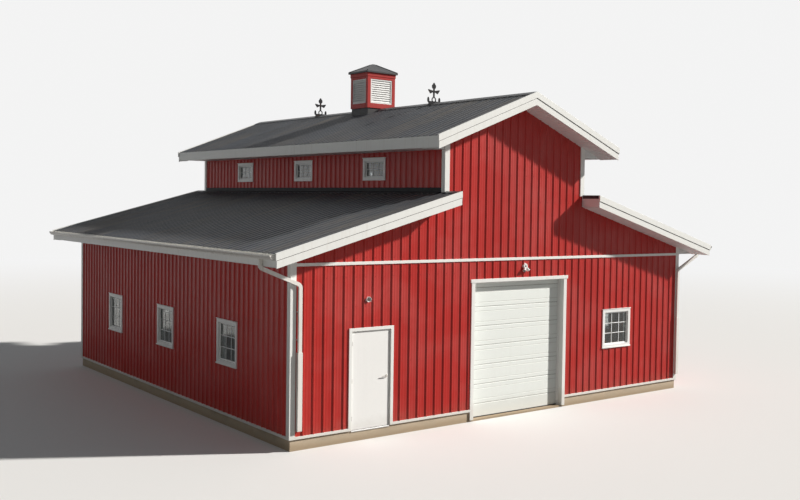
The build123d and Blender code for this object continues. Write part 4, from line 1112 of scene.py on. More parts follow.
@dataclass(frozen=True)
class Shop:
    """Turns bmeshes into pieces of the barn."""

    smooth: float = 35.0
    eased_fold: float = 28.0
    sheet_fold: float = 32.0
    screw_offset: float = 0.046
    screw_margin: float = 0.03

    def finish_piece(self, name: str, bm: bmesh.types.BMesh, finish: Finish,
                     body: Body = Body.BARN, nodes: tuple[str, ...] = ()) -> bpy.types.Object:
        """Makes an object of a bmesh.

        Args:
            name: Name of the piece.
            bm: Its mesh, which is freed.
            finish: Its finish.
            body: Body that it rides on.
            nodes: Nodes that it stands for.
        Returns:
            The object.
        """
        mesh = bpy.data.meshes.new(name)
        bm.to_mesh(mesh)
        bm.free()
        mesh.polygons.foreach_set("use_smooth", [True] * len(mesh.polygons))
        mesh.set_sharp_from_angle(angle=radians(self.smooth))
        mesh.materials.clear()
        mesh.materials.append(finish.material())
        made = bpy.data.objects.new(name, mesh)
        bpy.context.scene.collection.objects.link(made)
        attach(made, body.value)
        if nodes:
            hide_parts(*nodes)
        log.info("%s: %d faces", name, len(mesh.polygons))
        return made

    def eased(self, node: str, finish: Finish, body: Body = Body.BARN,
              radius: float = 0.002, segments: int = 2) -> bpy.types.Object:
        """Puts a copy with eased edges in a node's place.

        Args:
            node: The CAD node.
            finish: Finish of the copy.
            body: Body that it rides on.
            radius: Width of the eased edge.
            segments: Faces across it.
        Returns:
            The copy.
        """
        bm = bmesh.new()
        bm.from_mesh(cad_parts[node].data)
        bmesh.ops.remove_doubles(bm, verts=bm.verts, dist=TOUCHING)
        bmesh.ops.dissolve_limit(bm, angle_limit=radians(1.0), verts=bm.verts, edges=bm.edges)
        if radius:
            self.bevel(bm, self.folds(bm, self.eased_fold), radius, segments)
        made = self.finish_piece(f"{node}_eased", bm, finish, body, (node,))
        weighted = made.modifiers.new("even shading", "WEIGHTED_NORMAL")
        weighted.keep_sharp = True
        return made

    def folds(self, bm: bmesh.types.BMesh, angle: float) -> list[bmesh.types.BMEdge]:
        """Lists the edges where two faces meet at an angle.

        Args:
            bm: The mesh.
            angle: Angle in degrees that they turn by at least.
        Returns:
            The edges.
        """
        return [edge for edge in bm.edges
                if len(edge.link_faces) == 2 and edge.calc_face_angle(0.0) > radians(angle)]

    def bevel(self, bm: bmesh.types.BMesh, edges: list[bmesh.types.BMEdge], width: float,
              segments: int = 2) -> None:
        """Eases edges.

        Args:
            bm: The mesh.
            edges: Its edges.
            width: Width of the eased edge.
            segments: Faces across it.
        """
        bmesh.ops.bevel(bm, geom=edges, offset=width, offset_type="OFFSET", segments=segments,
                        profile=0.5, affect="EDGES", clamp_overlap=True, material=-1)

    def extrude(self, bm: bmesh.types.BMesh, grown: list, vec: tuple[float, float, float]) -> None:
        """Moves what an extrusion has grown.

        Args:
            bm: The mesh.
            grown: The extrusion's new geometry.
            vec: The way and distance.
        """
        moved = [item for item in grown if isinstance(item, bmesh.types.BMVert)]
        bmesh.ops.translate(bm, verts=moved, vec=vec)

    def sheet(self, name: str, facing: Facing, across: tuple[float, float],
              rise: tuple[float, float], form: RollForm, finish: Finish,
              phase: float = 0.0, openings: tuple[Opening, ...] = (),
              cuts: tuple[tuple[Vector, Vector], ...] = ()) -> bpy.types.Object:
        """Lays a roll-formed sheet on a face.

        Args:
            name: Name of the piece.
            facing: Face that it lies on.
            across: Its start and end across the face.
            rise: Its start and end up the face.
            form: Its profile.
            finish: Its finish.
            phase: Place across the face of the middle of a rib.
            openings: Holes in it.
            cuts: Planes, each a point and the normal of the side that is cut off.
        Returns:
            The sheet.
        """
        bm = bmesh.new()
        start = phase + form.pitch * ((across[0] - phase) // form.pitch - 1)
        count = int((across[1] - start) / form.pitch) + 2
        line = [bm.verts.new((start + u, rise[0], form.lift + n)) for u, n in form.points]
        edges = [bm.edges.new(pair) for pair in zip(line, line[1:])]
        grown = bmesh.ops.extrude_edge_only(bm, edges=edges)["geom"]
        self.extrude(bm, grown, (0, rise[1] - rise[0], 0))
        bmesh.ops.spin(bm, geom=bm.verts[:] + bm.edges[:] + bm.faces[:], cent=(0, 0, 0),
                       axis=(0, 0, 1), dvec=(form.pitch, 0, 0), angle=0.0, steps=count,
                       use_merge=False, use_duplicate=True)
        bmesh.ops.remove_doubles(bm, verts=bm.verts, dist=2 * TOUCHING)
        if form.crease:
            self.bevel(bm, self.folds(bm, self.sheet_fold), form.crease)
        for place, away in ((across[0], -1), (across[1], 1)):
            self.cut(bm, Vector((place, 0, 0)), Vector((away, 0, 0)))
        bmesh.ops.transform(bm, matrix=facing.matrix(), verts=bm.verts)
        for point, away in cuts:
            self.cut(bm, point, away)
        for opening in openings:
            self.pierce(bm, opening, facing.out)
        bm.normal_update()
        if sum(face.normal.dot(facing.out) for face in bm.faces) < 0:
            bmesh.ops.reverse_faces(bm, faces=bm.faces)
        bmesh.ops.solidify(bm, geom=bm.faces[:], thickness=form.thickness)
        bmesh.ops.recalc_face_normals(bm, faces=bm.faces)
        return self.finish_piece(name, bm, finish)

    def cut(self, bm: bmesh.types.BMesh, point: Vector, away: Vector) -> None:
        """Cuts a mesh off at a plane.

        Args:
            bm: The mesh.
            point: A point of the plane.
            away: Its normal, towards the side that goes.
        """
        bmesh.ops.bisect_plane(bm, geom=bm.verts[:] + bm.edges[:] + bm.faces[:], dist=TOUCHING,
                               plane_co=point, plane_no=away, clear_outer=True)

    def pierce(self, bm: bmesh.types.BMesh, opening: Opening, out: Vector) -> None:
        """Cuts an opening in a sheet.

        Args:
            bm: The sheet.
            opening: The opening.
            out: Normal of the sheet.
        """
        for axis, unit in enumerate((X, Y, Z)):
            if abs(unit.dot(out)) > 0.9:  # planes along the sheet don't cut it
                continue
            for corner in (opening.low, opening.high):
                near = [face for face in bm.faces if self.close(face, opening)]
                geom = list({item for face in near for item in (*face.verts, *face.edges)}) + near
                bmesh.ops.bisect_plane(bm, geom=geom, dist=TOUCHING, plane_co=unit * corner[axis],
                                       plane_no=unit)
        gone = [face for face in bm.faces if opening.holds(face.calc_center_median())]
        bmesh.ops.delete(bm, geom=gone, context="FACES")

    def close(self, face: bmesh.types.BMFace, opening: Opening) -> bool:
        """Says whether a face's box meets an opening's.

        Args:
            face: The face.
            opening: The opening.
        Returns:
            True where they meet.
        """
        for axis in range(3):
            places = [vert.co[axis] for vert in face.verts]
            if max(places) < opening.low[axis] or min(places) > opening.high[axis]:
                return False
        return True

    def screws(self, name: str, facing: Facing, across: tuple[float, float],
               rise: tuple[float, float], step: float, finish: Finish,
               phase: float = 0.0, openings: tuple[Opening, ...] = (),
               cuts: tuple[tuple[Vector, Vector], ...] = ()) -> bpy.types.Object:
        """Sets rows of hexagon screws with washers beside the high ribs.

        Args:
            name: Name of the piece.
            facing: Face that they stand on.
            across: First and last place across it.
            rise: First and last place up it.
            step: Distance between the rows.
            finish: Their finish.
            phase: Place of the middle of a rib.
            openings: Boxes that have none.
            cuts: Planes past which there are none.
        Returns:
            The screws.
        """
        single = bmesh.new()
        for part in SCREW:
            bmesh.ops.create_cone(single, cap_ends=True, segments=part.sides, radius1=part.foot,
                                  radius2=part.top, depth=part.depth,
                                  matrix=Matrix.Translation((0, 0, part.middle)))
        pattern = bpy.data.meshes.new("screw pattern")
        single.to_mesh(pattern)
        single.free()
        bm = bmesh.new()
        placing = facing.matrix()
        first = phase + RIB_PITCH * (int((across[0] - phase) // RIB_PITCH) + 1) + self.screw_offset
        rows = int(round((rise[1] - rise[0]) / step))
        columns = int((across[1] - first) / RIB_PITCH) + 1
        for row in range(rows + 1):
            for column in range(columns):
                spot = Vector((first + column * RIB_PITCH, rise[0] + row * step, 0))
                world = placing @ spot
                if any(opening.holds(world) for opening in openings):
                    continue
                if any((world - point).dot(away) > -self.screw_margin for point, away in cuts):
                    continue
                before = len(bm.verts)
                bm.from_mesh(pattern)
                bm.verts.ensure_lookup_table()
                bmesh.ops.transform(bm, matrix=placing @ Matrix.Translation(spot),
                                    verts=bm.verts[before:])
        bpy.data.meshes.remove(pattern)
        return self.finish_piece(name, bm, finish)

    def block(self, bm: bmesh.types.BMesh, low: tuple[float, float, float],
              high: tuple[float, float, float], ease: float = 0.0) -> None:
        """Adds a squared block with eased edges.

        Args:
            bm: Mesh that it goes in.
            low: Its lowest corner.
            high: Its highest corner.
            ease: Width of its eased edges.
        """
        size = Vector(high) - Vector(low)
        middle = (Vector(high) + Vector(low)) / 2
        placing = Matrix.Translation(middle) @ Matrix.Diagonal((*size, 1.0))
        grown = bmesh.ops.create_cube(bm, size=1.0, matrix=placing)["verts"]
        if ease:
            self.bevel(bm, list({edge for vert in grown for edge in vert.link_edges}), ease)


SHOP = Shop()
WALL_RIBS = rib_form(0.025, 0.010, 0.026)
ROOF_RIBS = rib_form(0.018, 0.012, 0.029)
BOARDS = soffit_form()


@dataclass
class Groundwork:
    """Slab, curb and the timber frame inside."""

    ease: float = 0.004

    def build(self) -> None:
        """Dresses the slab, the curb, the posts and the beams."""
        dress("floor_slab", CONCRETE)
        SHOP.eased("foundation_curb", CONCRETE, radius=self.ease)
        for node in ("aisle_posts", "aisle_beams"):
            SHOP.eased(node, TIMBER, radius=self.ease)


def dress(node: str, finish: Finish) -> None:
    """Gives a CAD node its finish.

    Args:
        node: The node.
        finish: The finish.
    """
    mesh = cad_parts[node].data
    if not mesh.materials:
        mesh.materials.append(finish.material())
    for index in range(len(mesh.materials)):
        mesh.materials[index] = finish.material()
    log.info("%s: %s", node, finish.name)


@dataclass
class Walls:
    """Wall cores and the rib sheets and screws on them."""

    girt_spacing: float = 0.61
    front_phase: float = -0.022
    side_phase: float = 0.059
    clerestory_phase: float = -0.043
    trim_lap: float = 0.004
    foot_gap: float = 0.02
    belt_lap: float = 0.02
    belt_gap: float = 0.04
    roof_gap: float = 0.03
    row_margin: float = 0.1
    nodes: tuple[str, ...] = ("front_wall_left", "front_wall_over_door", "front_wall_middle",
                              "front_wall_over_overhead_door", "front_wall_right", "gable_centres",
                              "gable_wings", "back_wall", "left_wall", "right_wall")

    def build(self) -> None:
        """Dresses the cores and lays every wall's sheets."""
        for node in self.nodes:
            dress(node, WALL_RED)
        for node in ("left_clerestory_wall", "right_clerestory_wall"):
            dress(node, CLERESTORY_RED)
        for side, word in ENDS:
            self.gable(side, word)
        for side, word in SIDES:
            self.side(side, word)
            self.clerestory(side, word)

    def lay(self, word: str, facing: Facing, across: tuple[float, float],
            rise: tuple[float, float], phase: float, openings: tuple[Opening, ...] = (),
            cuts: tuple[tuple[Vector, Vector], ...] = ()) -> None:
        """Lays one field of cladding with its screws.

        Args:
            word: Name of the field.
            facing: Face that it lies on.
            across: Its start and end across the face.
            rise: Its start and end up the face.
            phase: Place of a rib's middle.
            openings: Holes in it.
            cuts: Planes that it stops at.
        """
        SHOP.sheet(f"cladding_{word}", facing, across, rise, WALL_RIBS, CLADDING_RED,
                   phase, openings, cuts)
        rows = max(1, int((rise[1] - rise[0] - self.row_margin) / self.girt_spacing))
        start = rise[0] + self.row_margin
        SHOP.screws(f"screws_{word}", facing, across, (start, start + rows * self.girt_spacing),
                    self.girt_spacing, SCREW_STEEL, phase, openings, cuts)

    def gable(self, side: int, word: str) -> None:
        """Lays the cladding of one gable.

        Args:
            side: -1 for the front, 1 for the back.
            word: Name of that end.
        """
        facing = Facing(Vector((0, side * HALF_LENGTH, 0)), Z, Y * side)
        if side < 0:
            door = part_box("man_door_frame")
            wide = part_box("overhead_door_casing")
            openings = tuple(
                Opening((box[0].x + cover, -OUTSIDE, UNDERGROUND),
                        (box[1].x - cover, -INSIDE, box[1].z - COVER))
                for box, cover in ((door, COVER), (wide, 2 * COVER)))
            openings += (window_opening(1, FRONT_WINDOW_X, *LOW_WINDOW, side),)
        else:
            openings = tuple(window_opening(1, place, *LOW_WINDOW, side)
                             for place in (-FRONT_WINDOW_X, FRONT_WINDOW_X))
        edge = HALF_WIDTH - self.trim_lap
        aisle = HALF_MONITOR - self.trim_lap
        self.lay(f"{word}_lower", facing, (-edge, edge),
                 (CURB_TOP + self.foot_gap, BELT + self.belt_lap), self.front_phase, openings)
        foot, deep = BELT + self.belt_gap, SOFFIT_DEPTH - self.roof_gap
        for way, half in SIDES:
            across = -side * way
            slope = Vector((way * UPPER_SLOPE, 0, 1)).normalized()
            ridge = Vector((0, 0, upper_z(0, deep)))
            self.lay(f"{word}_gable_{half}", facing, span(0.0, across * aisle), (foot, upper_z(0)),
                     self.front_phase, (), ((ridge, slope),))
            slope = Vector((way * LOW_SLOPE, 0, 1)).normalized()
            eave = Vector((way * LOW_FASCIA, 0, low_z(LOW_FASCIA, deep)))
            self.lay(f"{word}_wing_{half}", facing, span(across * aisle, across * edge),
                     (foot, low_z(HALF_MONITOR)), self.front_phase, (), ((eave, slope),))

    def side(self, side: int, word: str) -> None:
        """Lays the cladding of a side wall.

        Args:
            side: -1 for the left, 1 for the right.
            word: Name of that side.
        """
        facing = Facing(Vector((side * HALF_WIDTH, 0, 0)), Z, X * side)
        openings = tuple(window_opening(0, step * WINDOW_SPACING, *LOW_WINDOW, side)
                         for step in (-1, 0, 1))
        edge = HALF_LENGTH - self.trim_lap
        self.lay(f"{word}_wall", facing, (-edge, edge),
                 (CURB_TOP + self.foot_gap, LOW_EAVE - CLADDING_DROP), side * self.side_phase,
                 openings)

    def clerestory(self, side: int, word: str) -> None:
        """Lays the cladding of a wall of the raised aisle.

        Args:
            side: -1 for the left, 1 for the right.
            word: Name of that side.
        """
        facing = Facing(Vector((side * HALF_MONITOR, 0, 0)), Z, X * side)
        openings = tuple(window_opening(0, step * WINDOW_SPACING, *CLERESTORY_WINDOW, side)
                         for step in (-1, 0, 1))
        edge = HALF_LENGTH - self.trim_lap
        self.lay(f"{word}_clerestory", facing, (-edge, edge),
                 (low_z(HALF_MONITOR) + self.roof_gap, UPPER_EAVE - CLADDING_DROP),
                 side * self.clerestory_phase, openings)


@dataclass
class Roofs:
    """Roof sheets, ridge cap, flashings, soffits, fascias and rakes."""

    purlin_spacing: float = 0.61
    first_row: float = 0.09
    row_margin: float = 0.3
    phase: float = 0.02
    ridge_gap: float = 0.012
    wall_gap: float = 0.004
    end_return: float = 0.018
    end_rise: float = 0.024
    end_leg: float = 0.085
    end_cover: float = 0.12
    end_gap: float = 0.03
    end_thickness: float = 0.0015
    joint_depth: float = 0.110
    joint_height: float = 0.009
    joint_tuck: float = 0.001
    joint_stand: float = 0.003
    rake_face: float = 6.985
    soffit_start: float = 0.03
    soffit_gap: float = 0.003
    ease: float = 0.003
    soffit_ease: float = 0.0015

    def build(self) -> None:
        """Lays the roofs and their trim."""
        for node in ("low_roofs", "upper_roof_left", "upper_roof_right"):
            dress(node, ROOF_CORE)
        for side, word in SIDES:
            self.slope(f"low_{word}", side, LOW_FASCIA, LOW_EAVE, LOW_SLOPE,
                       HALF_MONITOR + self.wall_gap)
            self.slope(f"upper_{word}", side, UPPER_FASCIA, UPPER_EAVE, UPPER_SLOPE, self.ridge_gap)
            self.eave_soffit(f"low_{word}", side, HALF_WIDTH, LOW_FASCIA, LOW_EAVE)
            self.eave_soffit(f"upper_{word}", side, HALF_MONITOR, UPPER_FASCIA, UPPER_EAVE)
            for end, name in ENDS:
                self.gable_soffit(f"low_{word}_{name}", side, end, HALF_MONITOR + self.soffit_start,
                                  LOW_FASCIA, low_z, LOW_SLOPE)
                self.gable_soffit(f"upper_{word}_{name}", side, end, 0.0, UPPER_FASCIA, upper_z,
                                  UPPER_SLOPE)
        self.end_flashings()
        self.rake_joint_shade_strips()
        for node, finish in (("cupola_curb", CHARCOAL_SOILED), ("ridge_cap", CHARCOAL_FOLDED),
                             ("roof_to_wall_flashings", CHARCOAL_PAINTED_SHADE)):
            SHOP.eased(node, finish, radius=self.ease)
        for node in ("eave_fascias", "rake_trims"):
            SHOP.eased(node, TRIM_WHITE, radius=self.ease)
        for node in ("eave_soffits", "gable_soffits"):
            SHOP.eased(node, SOFFIT_WHITE, radius=self.soffit_ease)

    def slope(self, word: str, side: int, fascia: float, eave: float, pitch: float,
              inner: float) -> None:
        """Lays the rib sheets of one slope.

        Args:
            word: Name of the slope.
            side: -1 for a slope that falls to the left, 1 to the right.
            fascia: Outer face of its fascia.
            eave: Height of its face there.
            pitch: Rise over run.
            inner: Place across the barn where it ends.
        """
        tilt = atan(pitch)
        up = Vector((-side * cos(tilt), 0, sin(tilt)))
        out = Vector((side * sin(tilt), 0, cos(tilt)))
        facing = Facing(Vector((side * fascia, 0, eave)), up, out)
        length = (fascia - inner) / cos(tilt)
        across = (-PANEL_HALF_LENGTH, PANEL_HALF_LENGTH)
        SHOP.sheet(f"roofing_{word}", facing, across, (END_LAP, length), ROOF_RIBS, CHARCOAL,
                   self.phase)
        rows = int((length - self.row_margin) / self.purlin_spacing)
        rise = (self.first_row, self.first_row + rows * self.purlin_spacing)
        SHOP.screws(f"roof_screws_{word}", facing, across, rise, self.purlin_spacing, DARK_SCREW,
                    self.phase)

    def end_flashings(self) -> None:
        """Folds a strip over the inner end of each low roof, where it runs past the gables."""
        bm = bmesh.new()
        inner = HALF_MONITOR - self.end_return
        top = low_z(inner) + self.end_rise
        for side in (-1, 1):
            line = [(side * inner, top - self.end_leg), (side * inner, top),
                    (side * (inner + self.end_cover), top - LOW_SLOPE * self.end_cover)]
            for end in (-1, 1):
                near, far = end * (HALF_LENGTH + self.end_gap), end * (PANEL_HALF_LENGTH - END_LAP)
                fold = []
                for (x1, z1), (x2, z2) in zip(line, line[1:]):
                    corners = ((x1, near, z1), (x2, near, z2), (x2, far, z2), (x1, far, z1))
                    fold.append(bm.faces.new([bm.verts.new(corner) for corner in corners]))
                verts = list({vert for face in fold for vert in face.verts})
                bmesh.ops.remove_doubles(bm, verts=verts, dist=TOUCHING)
        bmesh.ops.recalc_face_normals(bm, faces=bm.faces)
        bmesh.ops.solidify(bm, geom=bm.faces[:], thickness=self.end_thickness)
        bmesh.ops.recalc_face_normals(bm, faces=bm.faces)
        SHOP.finish_piece("low_roof_end_flashings", bm, CHARCOAL_FOLDED)

    def rake_joint_shade_strips(self) -> None:
        """Puts a black strip as painted shade in the open joint under the upper strip of each rake.
        """
        bm = bmesh.new()
        top, foot = self.joint_depth, self.joint_depth + self.joint_height
        for end in (-1, 1):
            near, far = span(end * (self.rake_face - self.joint_tuck),
                             end * (self.rake_face + self.joint_stand))
            for side in (-1, 1):
                for inner, outer, height in ((0.0, UPPER_FASCIA, upper_z),
                                             (HALF_MONITOR, LOW_FASCIA, low_z)):
                    corners = [(side * x, height(x, depth)) for x, depth in
                               ((inner, top), (outer, top), (outer, foot), (inner, foot))]
                    face = bm.faces.new([bm.verts.new((x, near, z)) for x, z in corners])
                    grown = bmesh.ops.extrude_face_region(bm, geom=[face])["geom"]
                    SHOP.extrude(bm, grown, (0, far - near, 0))
        bmesh.ops.recalc_face_normals(bm, faces=bm.faces)
        # the black strips stand in for the joint's shade: painted shade
        SHOP.finish_piece("rake_joint_shade_strips", bm, SEAL)

    def eave_soffit(self, word: str, side: int, wall: float, fascia: float, eave: float) -> None:
        """Lines a level soffit with boards.

        Args:
            word: Name of the eave.
            side: -1 for the left, 1 for the right.
            wall: Face of the wall.
            fascia: Outer face of the fascia.
            eave: Height of the roof there.
        """
        facing = Facing(Vector((0, 0, eave - SOFFIT_DROP)), X, -Z)
        run = span(side * (wall + self.wall_gap), side * (fascia - FASCIA_BACK))
        SHOP.sheet(f"soffit_boards_{word}", facing, (-HALF_LENGTH, HALF_LENGTH), run, BOARDS,
                   SOFFIT_WHITE)

    def gable_soffit(self, word: str, side: int, end: int, inner: float, fascia: float,
                     height: Callable[[float, float], float], pitch: float) -> None:
        """Lines a sloped soffit with boards.

        Args:
            word: Name of the soffit.
            side: -1 for the left slope, 1 for the right.
            end: -1 for the front, 1 for the back.
            inner: Where it starts across the barn.
            fascia: Outer face of the fascia.
            height: Function that gives the roof's height.
            pitch: Rise over run.
        """
        tilt = atan(pitch)
        out = Vector((-side * sin(tilt), 0, -cos(tilt)))
        facing = Facing(Vector((0, 0, height(0, SOFFIT_DEPTH))), Y, out)
        way = side if facing.matrix().col[0].x > 0 else -side
        across = span(way * inner / cos(tilt), way * (fascia - FASCIA_BACK) / cos(tilt))
        run = span(end * (HALF_LENGTH + self.soffit_gap), end * (PANEL_HALF_LENGTH - END_LAP))
        SHOP.sheet(f"soffit_boards_{word}", facing, across, run, BOARDS, SOFFIT_WHITE)


@dataclass
class WallTrim:
    """Folded white trim on the walls."""

    ease: float = 0.003

    def build(self) -> None:
        """Eases the corner, base and belt trims."""
        for node in ("corner_trims", "base_trim", "belt_trims"):
            SHOP.eased(node, TRIM_WHITE, radius=self.ease)


@dataclass
class OverheadDoor:
    """Sectional door with its casing, stops and foot seal."""

    lap: float = 0.02
    stop_depth: float = 0.045
    stop_width: float = 0.028
    stop_tuck: float = 0.006
    stop_gap: float = 0.012
    stop_ease: float = 0.004
    lip_width: float = 0.014
    lip_front: float = 0.010
    lip_back: float = 0.002
    lip_ease: float = 0.002
    seal_height: float = 0.022
    seal_inset: float = 0.002
    seal_back: float = 0.03
    seal_ease: float = 0.008
    bottom_section: float = 0.312
    middle_section: float = 0.447
    middle_sections: int = 6
    joint_height: float = 0.007
    joint_front: float = 0.008
    joint_back: float = 0.014
    door_ease: float = 0.0015
    casing_ease: float = 0.003

    def build(self) -> None:
        """Eases the door and its casing, and adds the stops, lips, seal and joints."""
        SHOP.eased("overhead_door", DOOR_WHITE, radius=self.door_ease)
        SHOP.eased("overhead_door_casing", TRIM_WHITE, radius=self.casing_ease)
        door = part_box("overhead_door")
        low, high = door[0].x + self.lap, door[1].x - self.lap
        foot, top, face = door[0].z, door[1].z - self.lap, door[0].y
        front, back = face - self.stop_depth, face - self.stop_gap
        outer, inner = face - self.lip_front, face - self.lip_back
        reach = self.stop_width + self.lip_width
        stops, lips, seals, joints = (bmesh.new() for _ in range(4))
        for place, way in ((low, 1), (high, -1)):
            stop = span(place - way * self.stop_tuck, place + way * self.stop_width)
            lip = span(place + way * self.stop_width, place + way * reach)
            SHOP.block(stops, (stop[0], front, foot), (stop[1], back, top + self.stop_tuck),
                       self.stop_ease)
            SHOP.block(lips, (lip[0], outer, foot), (lip[1], inner, top), self.lip_ease)
        SHOP.block(stops, (low - self.stop_tuck, front, top - self.stop_width),
                   (high + self.stop_tuck, back, top + self.stop_tuck), self.stop_ease)
        SHOP.block(lips, (low, outer, top - reach), (high, inner, top - self.stop_width),
                   self.lip_ease)
        SHOP.block(seals, (low + self.seal_inset, back, foot),
                   (high - self.seal_inset, face + self.seal_back, foot + self.seal_height),
                   self.seal_ease)
        for count in range(self.middle_sections + 1):
            height = foot + self.bottom_section + count * self.middle_section
            SHOP.block(joints, (low, face + self.joint_front, height - self.joint_height / 2),
                       (high, face + self.joint_back, height + self.joint_height / 2))
        for word, mesh, finish, slot in (
                ("stops", stops, VINYL, Slot.TRIM), ("stop_lips", lips, VINYL, Slot.TRIM),
                ("seals", seals, SEAL, Slot.DOORS), ("joints", joints, SECTION_SEAL, Slot.DOORS)):
            SHOP.finish_piece(f"overhead_door_{word}", mesh, finish)


@dataclass
class ManDoor:
    """Hinged door: frame, leaf, hinges and lever set."""

    ease: float = 0.002
    threshold_ease: float = 0.0015
    lever_ease: float = 0.003
    sweep_inset: float = 0.004
    sweep_back: float = 0.006
    sweep_drop: float = 0.004
    sweep_lap: float = 0.001
    sweep_ease: float = 0.001

    def build(self) -> None:
        """Eases the frame, the leaf and its fittings, and adds the sweep."""
        SHOP.eased("man_door_frame", TRIM_WHITE, radius=self.ease)
        SHOP.eased("man_door_threshold", MILL, radius=self.threshold_ease)
        SHOP.eased("man_door_leaf", LEAF_WHITE, Body.DOOR, radius=self.ease)
        SHOP.eased("man_door_hinge_leaves", SATIN, Body.DOOR, radius=0.0)
        SHOP.eased("man_door_roses", SATIN, Body.DOOR, radius=self.ease, segments=3)
        SHOP.eased("man_door_lever", SATIN, Body.LEVER, radius=self.lever_ease,
                   segments=3)
        dress("man_door_hinge_pins", SATIN)
        self.sweep()

    def sweep(self) -> None:
        """Adds the rubber sweep along the leaf's foot."""
        low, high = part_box("man_door_leaf")
        sweep = bmesh.new()
        SHOP.block(sweep, (low.x + self.sweep_inset, low.y + self.sweep_back,
                           low.z - self.sweep_drop),
                   (high.x - self.sweep_inset, high.y - self.sweep_back, low.z + self.sweep_lap),
                   self.sweep_ease)
        SHOP.finish_piece("man_door_sweep", sweep, SEAL, Body.DOOR)


@dataclass(frozen=True)
class Ledge:
    """Strip at a window's head or foot: its reach below and above the trim's edge, its depth."""

    below: float
    above: float
    depth: float
    ease: float


@dataclass
class Windows:
    """Vinyl windows: frames, bars, gaskets, sills and head flashings."""

    bar: float = 0.018
    bar_stand: float = 0.006
    bar_ease: float = 0.002
    glass_back: float = 0.032
    edge: float = 0.112
    gasket: float = 0.005
    gasket_stand: float = 0.004
    overlap: float = 0.012
    head: Ledge = Ledge(0.004, 0.010, 0.040, 0.002)
    sill: Ledge = Ledge(0.012, 0.016, 0.044, 0.003)
    ease: float = 0.003

    def build(self) -> None:
        """Eases the frames and adds bars, gaskets, sills and heads to each window."""
        dress("window_glass", GLASS)
        for node in ("side_windows", "clerestory_windows", "gable_windows"):
            SHOP.eased(node, VINYL, radius=self.ease)
        bars, gaskets, ledges = bmesh.new(), bmesh.new(), bmesh.new()
        for facing, along, size, low in self.places():
            self.dress_window(bars, gaskets, ledges, facing, along, size, low)
        SHOP.finish_piece("window_bars", bars, VINYL)
        SHOP.finish_piece("window_gaskets", gaskets, SEAL)
        SHOP.finish_piece("window_sills_and_heads", ledges, TRIM_WHITE)

    def places(self) -> list[tuple[Facing, float, tuple[float, float, float], bool]]:
        """Lists the windows.

        Returns:
            For each its facing with the origin at its middle height, its place across, its width,
            height and middle, and whether it is a low one.
        """
        found = []
        for side in (-1, 1):
            low = Facing(Vector((side * HALF_WIDTH, 0, LOW_WINDOW[2])), Z, X * side)
            high = Facing(Vector((side * HALF_MONITOR, 0, CLERESTORY_WINDOW[2])), Z, X * side)
            for step in (-1, 0, 1):
                found.append((low, step * WINDOW_SPACING, LOW_WINDOW, True))
                found.append((high, step * WINDOW_SPACING, CLERESTORY_WINDOW, False))
        front, back = (Facing(Vector((0, side * HALF_LENGTH, LOW_WINDOW[2])), Z, Y * side)
                       for side in (-1, 1))
        for facing, along in ((front, FRONT_WINDOW_X), (back, FRONT_WINDOW_X),
                              (back, -FRONT_WINDOW_X)):
            found.append((facing, along, LOW_WINDOW, True))
        return found

    def dress_window(self, bars: bmesh.types.BMesh, gaskets: bmesh.types.BMesh,
                     ledges: bmesh.types.BMesh, facing: Facing, along: float,
                     size: tuple[float, float, float], low: bool) -> None:
        """Adds one window's fittings.

        Args:
            bars: Mesh of all bars.
            gaskets: Mesh of all gaskets.
            ledges: Mesh of all sills and heads.
            facing: The wall.
            along: Middle of the window across it.
            size: Width and height over the trim, and the height of its middle.
            low: Whether it is a low window, with a sill too.
        """
        half = (size[0] / 2 - self.edge, size[1] / 2 - self.edge)
        reach, top = size[0] / 2 + self.overlap, size[1] / 2
        starts = [len(mesh.verts) for mesh in (bars, gaskets, ledges)]
        self.add_bars(bars, half, low)
        self.add_gasket(gaskets, half)
        strips = ((top, self.head), (-top, self.sill)) if low else ((top, self.head),)
        for place, strip in strips:
            SHOP.block(ledges, (-reach, place - strip.below, 0.0),
                       (reach, place + strip.above, strip.depth), strip.ease)
        placing = facing.matrix() @ Matrix.Translation((along, 0, 0))
        for mesh, start in zip((bars, gaskets, ledges), starts):
            mesh.verts.ensure_lookup_table()
            bmesh.ops.transform(mesh, matrix=placing, verts=mesh.verts[start:])

    def add_bars(self, bm: bmesh.types.BMesh, half: tuple[float, float], low: bool) -> None:
        """Adds the bars on the glass, three panes wide and three or two high.

        Args:
            bm: Mesh of the bars.
            half: Half the glass's width and height.
            low: Whether the window is a low one.
        """
        near, far = -self.glass_back, self.bar_stand - self.glass_back
        for place in (-half[0] / 3, half[0] / 3):
            SHOP.block(bm, (place - self.bar / 2, -half[1], near),
                       (place + self.bar / 2, half[1], far), self.bar_ease)
        for place in (-half[1] / 3, half[1] / 3) if low else (0.0,):
            SHOP.block(bm, (-half[0], place - self.bar / 2, near),
                       (half[0], place + self.bar / 2, far), self.bar_ease)

    def add_gasket(self, bm: bmesh.types.BMesh, half: tuple[float, float]) -> None:
        """Adds the seal around the glass.

        Args:
            bm: Mesh of the gaskets.
            half: Half the glass's width and height.
        """
        near, far = -self.glass_back, self.gasket_stand - self.glass_back
        for way in (-1, 1):
            across = span(way * half[0], way * (half[0] - self.gasket))
            SHOP.block(bm, (across[0], -half[1], near), (across[1], half[1], far))
            upward = span(way * half[1], way * (half[1] - self.gasket))
            SHOP.block(bm, (-half[0], upward[0], near), (half[0], upward[1], far))


